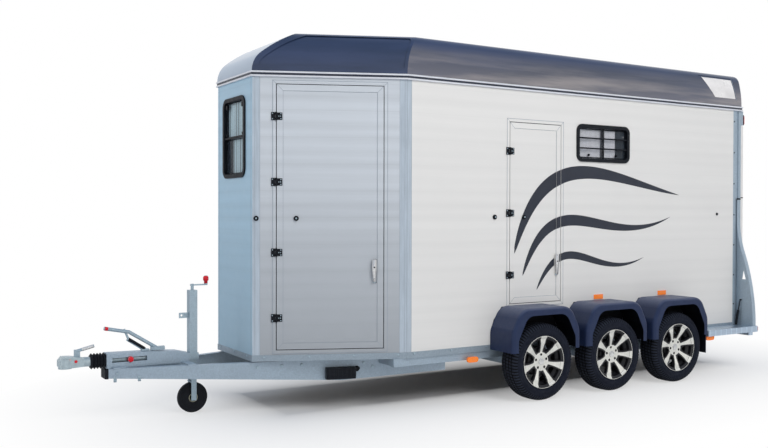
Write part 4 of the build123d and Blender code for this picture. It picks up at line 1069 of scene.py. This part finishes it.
def build_front_fittings():
    """Coloured grips, marks, hooks and black lines of painted shade along the slots, on drawbar, coupling
    and jockey wheel.
    """
    grip = [
        (0.0135, 0.0), (0.014, 0.018), (0.0205, 0.023), (0.021, 0.044), (0.015, 0.055), (0.008, 0.0575),
    ]
    foot = at(1.282, 0.0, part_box("jockey_crank")[1].z - grip[-1][1])
    Piece().turned(grip, foot, 28).done("crank_grip", "red_plastic", "jockey_leg")
    tip, bend, tip_length = at(2.034, 0.0, 0.665), at(1.858, 0.0, 0.629), 0.03
    back = (bend - tip).normalized()
    Piece().rod(tip + back * tip_length, tip, 0.0142).done("brake_lever_tip", "red_plastic")
    knob = Piece(Matrix.Translation(at(1.86, 0.048, 0.44)) @ outward)
    knob.turned([(0.0205, 0.0), (0.0215, 0.003), (0.0215, 0.011), (0.018, 0.0155)], segments=28)
    knob.place = Matrix.Translation(at(2.235, 0.0375, 0.452)) @ outward
    knob.turned([(0.0105, 0.0), (0.0105, 0.0015), (0.009, 0.0022)])
    knob.done("overrun_knob", "red_plastic")
    # The mark wears the lamp lens finish, so it glows faintly: painted light.
    mark = Piece(Matrix.Translation(at(2.285, 0.0375, 0.468)) @ outward)
    mark.pad((0.0, 0.0), (0.012, 0.006), 0.0, 0.0014, 0.0008).done("coupling_mark", "lamp_amber")
    cover = Piece().rod(at(2.19, 0.0, 0.5272), at(2.106, 0.0, 0.5475), 0.0122)
    cover.done("coupling_grip", "cap_silver")
    hooks, hook_half = Piece(beam_side), 0.011
    for along in (0.045, 0.21):
        for bottom, top, near, far in (
            (0.297, 0.33, -0.004, 0.004), (0.293, 0.3, -0.004, 0.02), (0.293, 0.31, 0.015, 0.02),
        ):
            hooks.box((along - hook_half, bottom, near), (along + hook_half, top, far), 0.0015)
    hooks.mirror_right().done("beam_hooks", "zinc")
    sleeve = Piece().rod(at(1.744, 0.0, 0.497), at(1.868, 0.0, 0.5795), 0.0146)
    sleeve.done("brake_strut_sleeve", "black_plastic")
    # Painted shade: thin black lines along the edges of the housing's slots.
    slot_shade_lines = Piece()
    start, end, half_thick, half_wide = 1.742, 1.988, 0.0004, 0.0008
    for y in (0.0485, -0.0485):
        for z in (0.427, 0.453):
            slot_shade_lines.box(at(start, y - half_thick, z - half_wide), at(end, y + half_thick, z + half_wide))
    slot_shade_lines.done("housing_slot_shade_lines", "black_rubber")


def build_jockey_hub():
    """Pale plastic rim and hub on both sides of the jockey wheel."""
    low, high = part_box("jockey_wheel")
    centre = (low + high) / 2
    hub = Piece(Matrix.Translation(centre) @ outward)
    rim, disc = [(0.058, 0.01), (0.058, 0.017), (0.052, 0.0185)], [(0.034, 0.0178)]
    boss = [(0.0335, 0.025), (0.018, 0.025)]
    for turn in (Matrix(), Matrix.Rotation(math.pi, 4, "X")):
        hub.turned(rim + disc + boss, segments=40, turn=turn)
    hub.done("jockey_hub", "hub_cream", "jockey_wheel")


def build_chocks():
    """Ribs and turning knob on the wheel chocks."""
    rib_count, rib_start, rib_pitch, rib_width, rib_low, rib_high = 7, 1.568, 0.033, 0.014, 0.243, 0.322
    ribs = Piece(beam_side)
    for i in range(rib_count):
        x = rib_start + i * rib_pitch
        ribs.box((x, rib_low, 0.0598), (x + rib_width, rib_high, 0.0635), 0.0012)
    ribs.mirror_right().done("chock_ribs", "black_plastic")
    x, z = 1.805, 0.306
    knob = Piece(beam_side).turned([(0.021, 0.0), (0.021, 0.012), (0.016, 0.018)], (x, z, 0.0), 10)
    knob.pad((x, z), (0.025, 0.006), 0.0, 0.006, 0.001)
    knob.mirror_right().done("chock_knobs", "black_plastic")


def build_arch_liners():
    """Black inner skin of the mudguards against the side walls."""
    guard_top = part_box("mudguards_left")[1].z
    half = (wheel_centres[0].x - wheel_centres[1].x) / 2 - 0.042
    low, top = guard_top - 0.338, guard_top - 0.006
    arch = [(half, low), (half, top - 0.19), (half - 0.03, top - 0.1), (half - 0.11, top)]
    outline = [(-half, low)] + arch + [(-across, up) for across, up in arch[:0:-1]]
    liner = Piece(left_wall)
    for centre in wheel_centres:
        middle = front_end - centre.x
        liner.prism([(middle + across, up) for across, up in outline], 0.0004, 0.003)
    liner.mirror_right().done("arch_liners", "black_rubber")


def build_marker_bases():
    """Plastic bases behind the upper rear lamps."""
    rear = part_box("rear_lamps")[0].x
    bases = Piece().box((rear + 0.012, 0.745, 2.353), (rear + 0.0195, 0.8, 2.452), 0.004)
    bases.mirror_right().done("marker_bases", "black_plastic")


def build_panel_lines():
    """Fine joints where the corner profiles meet the walls."""
    low, high, half, proud = wall_low + 0.046, wall_high, 0.001, 0.0006
    lines = Piece(left_wall)
    lines.box((0.039, low, 0.0), (0.0415, high, proud))
    lines.box((0.0, low, 0.0), (0.0025, high, 0.0008))
    lines.place = angled_wall
    length = math.hypot(nose_run, side_y - nose_half)
    for along in (0.055, length - 0.055, 0.018, length - 0.016):
        lines.box((along - half, low, 0.0), (along + half, high, proud))
    lines.mirror_right()
    lines.place = front_wall
    for across in (-0.322, 0.322):
        lines.box((across - half, low, 0.0), (across + half, high, proud))
    lines.done("profile_joints", "joint_grey")


# Stage

def stage_finish():
    """Floor that keeps its soft shadows near the trailer, with a slightly darker colour there as painted
    shade, and fades to plain white further out.
    """
    f = Finish("stage_floor", 0.9)
    shadow_middle, shadow_half_x, shadow_half_y, fade_width = -0.7, 2.3, 0.45, 2.0
    beyond_x = f.largest(abs(f.axis("X") - shadow_middle) - shadow_half_x, 0.0)
    beyond_y = f.largest(abs(f.axis("Y")) - shadow_half_y, 0.0)
    away = f.math("SQRT", beyond_x * beyond_x + beyond_y * beyond_y)
    fade = f.span(away, 0.0, fade_width) ** 0.48
    # Painted shade: the floor colour is darker near the trailer.
    f.colour(f.mix(fade, (0.78, 0.78, 0.78), (0.84, 0.84, 0.84)))
    glow = f.add("ShaderNodeEmission")
    glow.inputs["Color"].default_value = (1.0, 1.0, 1.0, 1.0)
    blend = f.add("ShaderNodeMixShader")
    seen = f.out(f.add("ShaderNodeLightPath"), "Is Camera Ray")
    surface = f.feed_all(blend, (fade * seen, f.out(f.shader), f.out(glow)))
    f.feed(f.tree.nodes["Material Output"].inputs["Surface"], surface)


def build_floor():
    """Pale floor far beyond the picture."""
    mesh = bpy.data.meshes.new("stage_floor")
    reach = 60.0
    corners = [(-reach, -reach, 0), (reach, -reach, 0), (reach, reach, 0), (-reach, reach, 0)]
    mesh.from_pydata(corners, [], [(0, 1, 2, 3)])
    floor = bpy.data.objects.new("stage_floor", mesh)
    bpy.context.scene.collection.objects.link(floor)
    stage_finish()
    mesh.materials.append(finishes["stage_floor"])


def build_surround():
    """White studio around the trailer, bluer towards the top and dimmer for what it lights."""
    world = bpy.data.worlds.new("studio")
    bpy.context.scene.world = world
    world.use_nodes = True
    sky = Nodes(world.node_tree, "Generated")
    background = sky.tree.nodes["Background"]
    ramp = sky.add("ShaderNodeValToRGB")
    sky.feed(ramp.inputs[0], sky.axis("Z"))
    stops = ((0.3, (1.0, 1.0, 1.0, 1.0)), (0.85, (0.42, 0.5, 0.66, 1.0)))
    for element, (position, colour) in zip(ramp.color_ramp.elements, stops):
        element.position = position
        element.color = colour
    sky.feed(background.inputs[0], sky.out(ramp))
    path = sky.add("ShaderNodeLightPath")
    rays = ("Is Camera Ray", "Is Glossy Ray", "Is Transmission Ray")
    seen = sky.largest(*(sky.out(path, ray) for ray in rays))
    sky.feed(background.inputs[1], sky.span(seen, 0.0, 1.0, 0.58, 1.0))


def build_lamps():
    """Three large soft lamps that don't mirror in the paint."""
    aim = Vector((-0.3, 0.0, 1.2))
    lamps = (
        ("key", (0.5, 9.0, 8.0), 6.0, 640.0, (1.0, 0.99, 0.97)),
        ("fill", (8.0, -3.0, 5.0), 5.0, 130.0, (0.9, 0.95, 1.0)),
        ("rear", (-9.0, -3.0, 6.0), 5.0, 200.0, (1.0, 1.0, 1.0)),
    )
    for name, place, size, power, colour in lamps:
        light = bpy.data.lights.new(name, "AREA")
        light.size, light.energy, light.color = size, power, colour
        lamp = bpy.data.objects.new(name, light)
        lamp.location = place
        lamp.visible_glossy = False
        lamp.rotation_euler = (aim - Vector(place)).to_track_quat("-Z", "Y").to_euler()
        bpy.context.scene.collection.objects.link(lamp)


def build_camera():
    """Camera of the photograph, from its place, two angles and roll."""
    data = bpy.data.cameras.new("photo_camera")
    data.lens, data.sensor_width = camera_lens, sensor
    camera = bpy.data.objects.new("photo_camera", data)
    yaw, down, roll = (math.radians(angle) for angle in (camera_yaw, camera_down, camera_roll))
    ahead = Vector((-math.sin(yaw) * math.cos(down), -math.cos(yaw) * math.cos(down), -math.sin(down)))
    camera.matrix_world = (
        Matrix.Translation(camera_place) @ ahead.to_track_quat("-Z", "Y").to_matrix().to_4x4()
        @ Matrix.Rotation(-roll, 4, "Z")
    )
    bpy.context.scene.collection.objects.link(camera)
    bpy.context.scene.camera = camera


bpy.context.scene.view_settings.view_transform = "Standard"
build_camera()
build_floor()
build_surround()
build_lamps()
dress_nodes()
build_wheels()
for door_name, wall in (("front_door", angled_wall), ("side_door", left_wall)):
    build_door(door_name, doors[door_name], wall)
build_front_window()
build_side_windows()
build_bands()
build_badge_field()
build_bolts()
build_rear_hardware()
build_front_fittings()
build_chocks()
build_arch_liners()
build_marker_bases()
build_panel_lines()
build_jockey_hub()
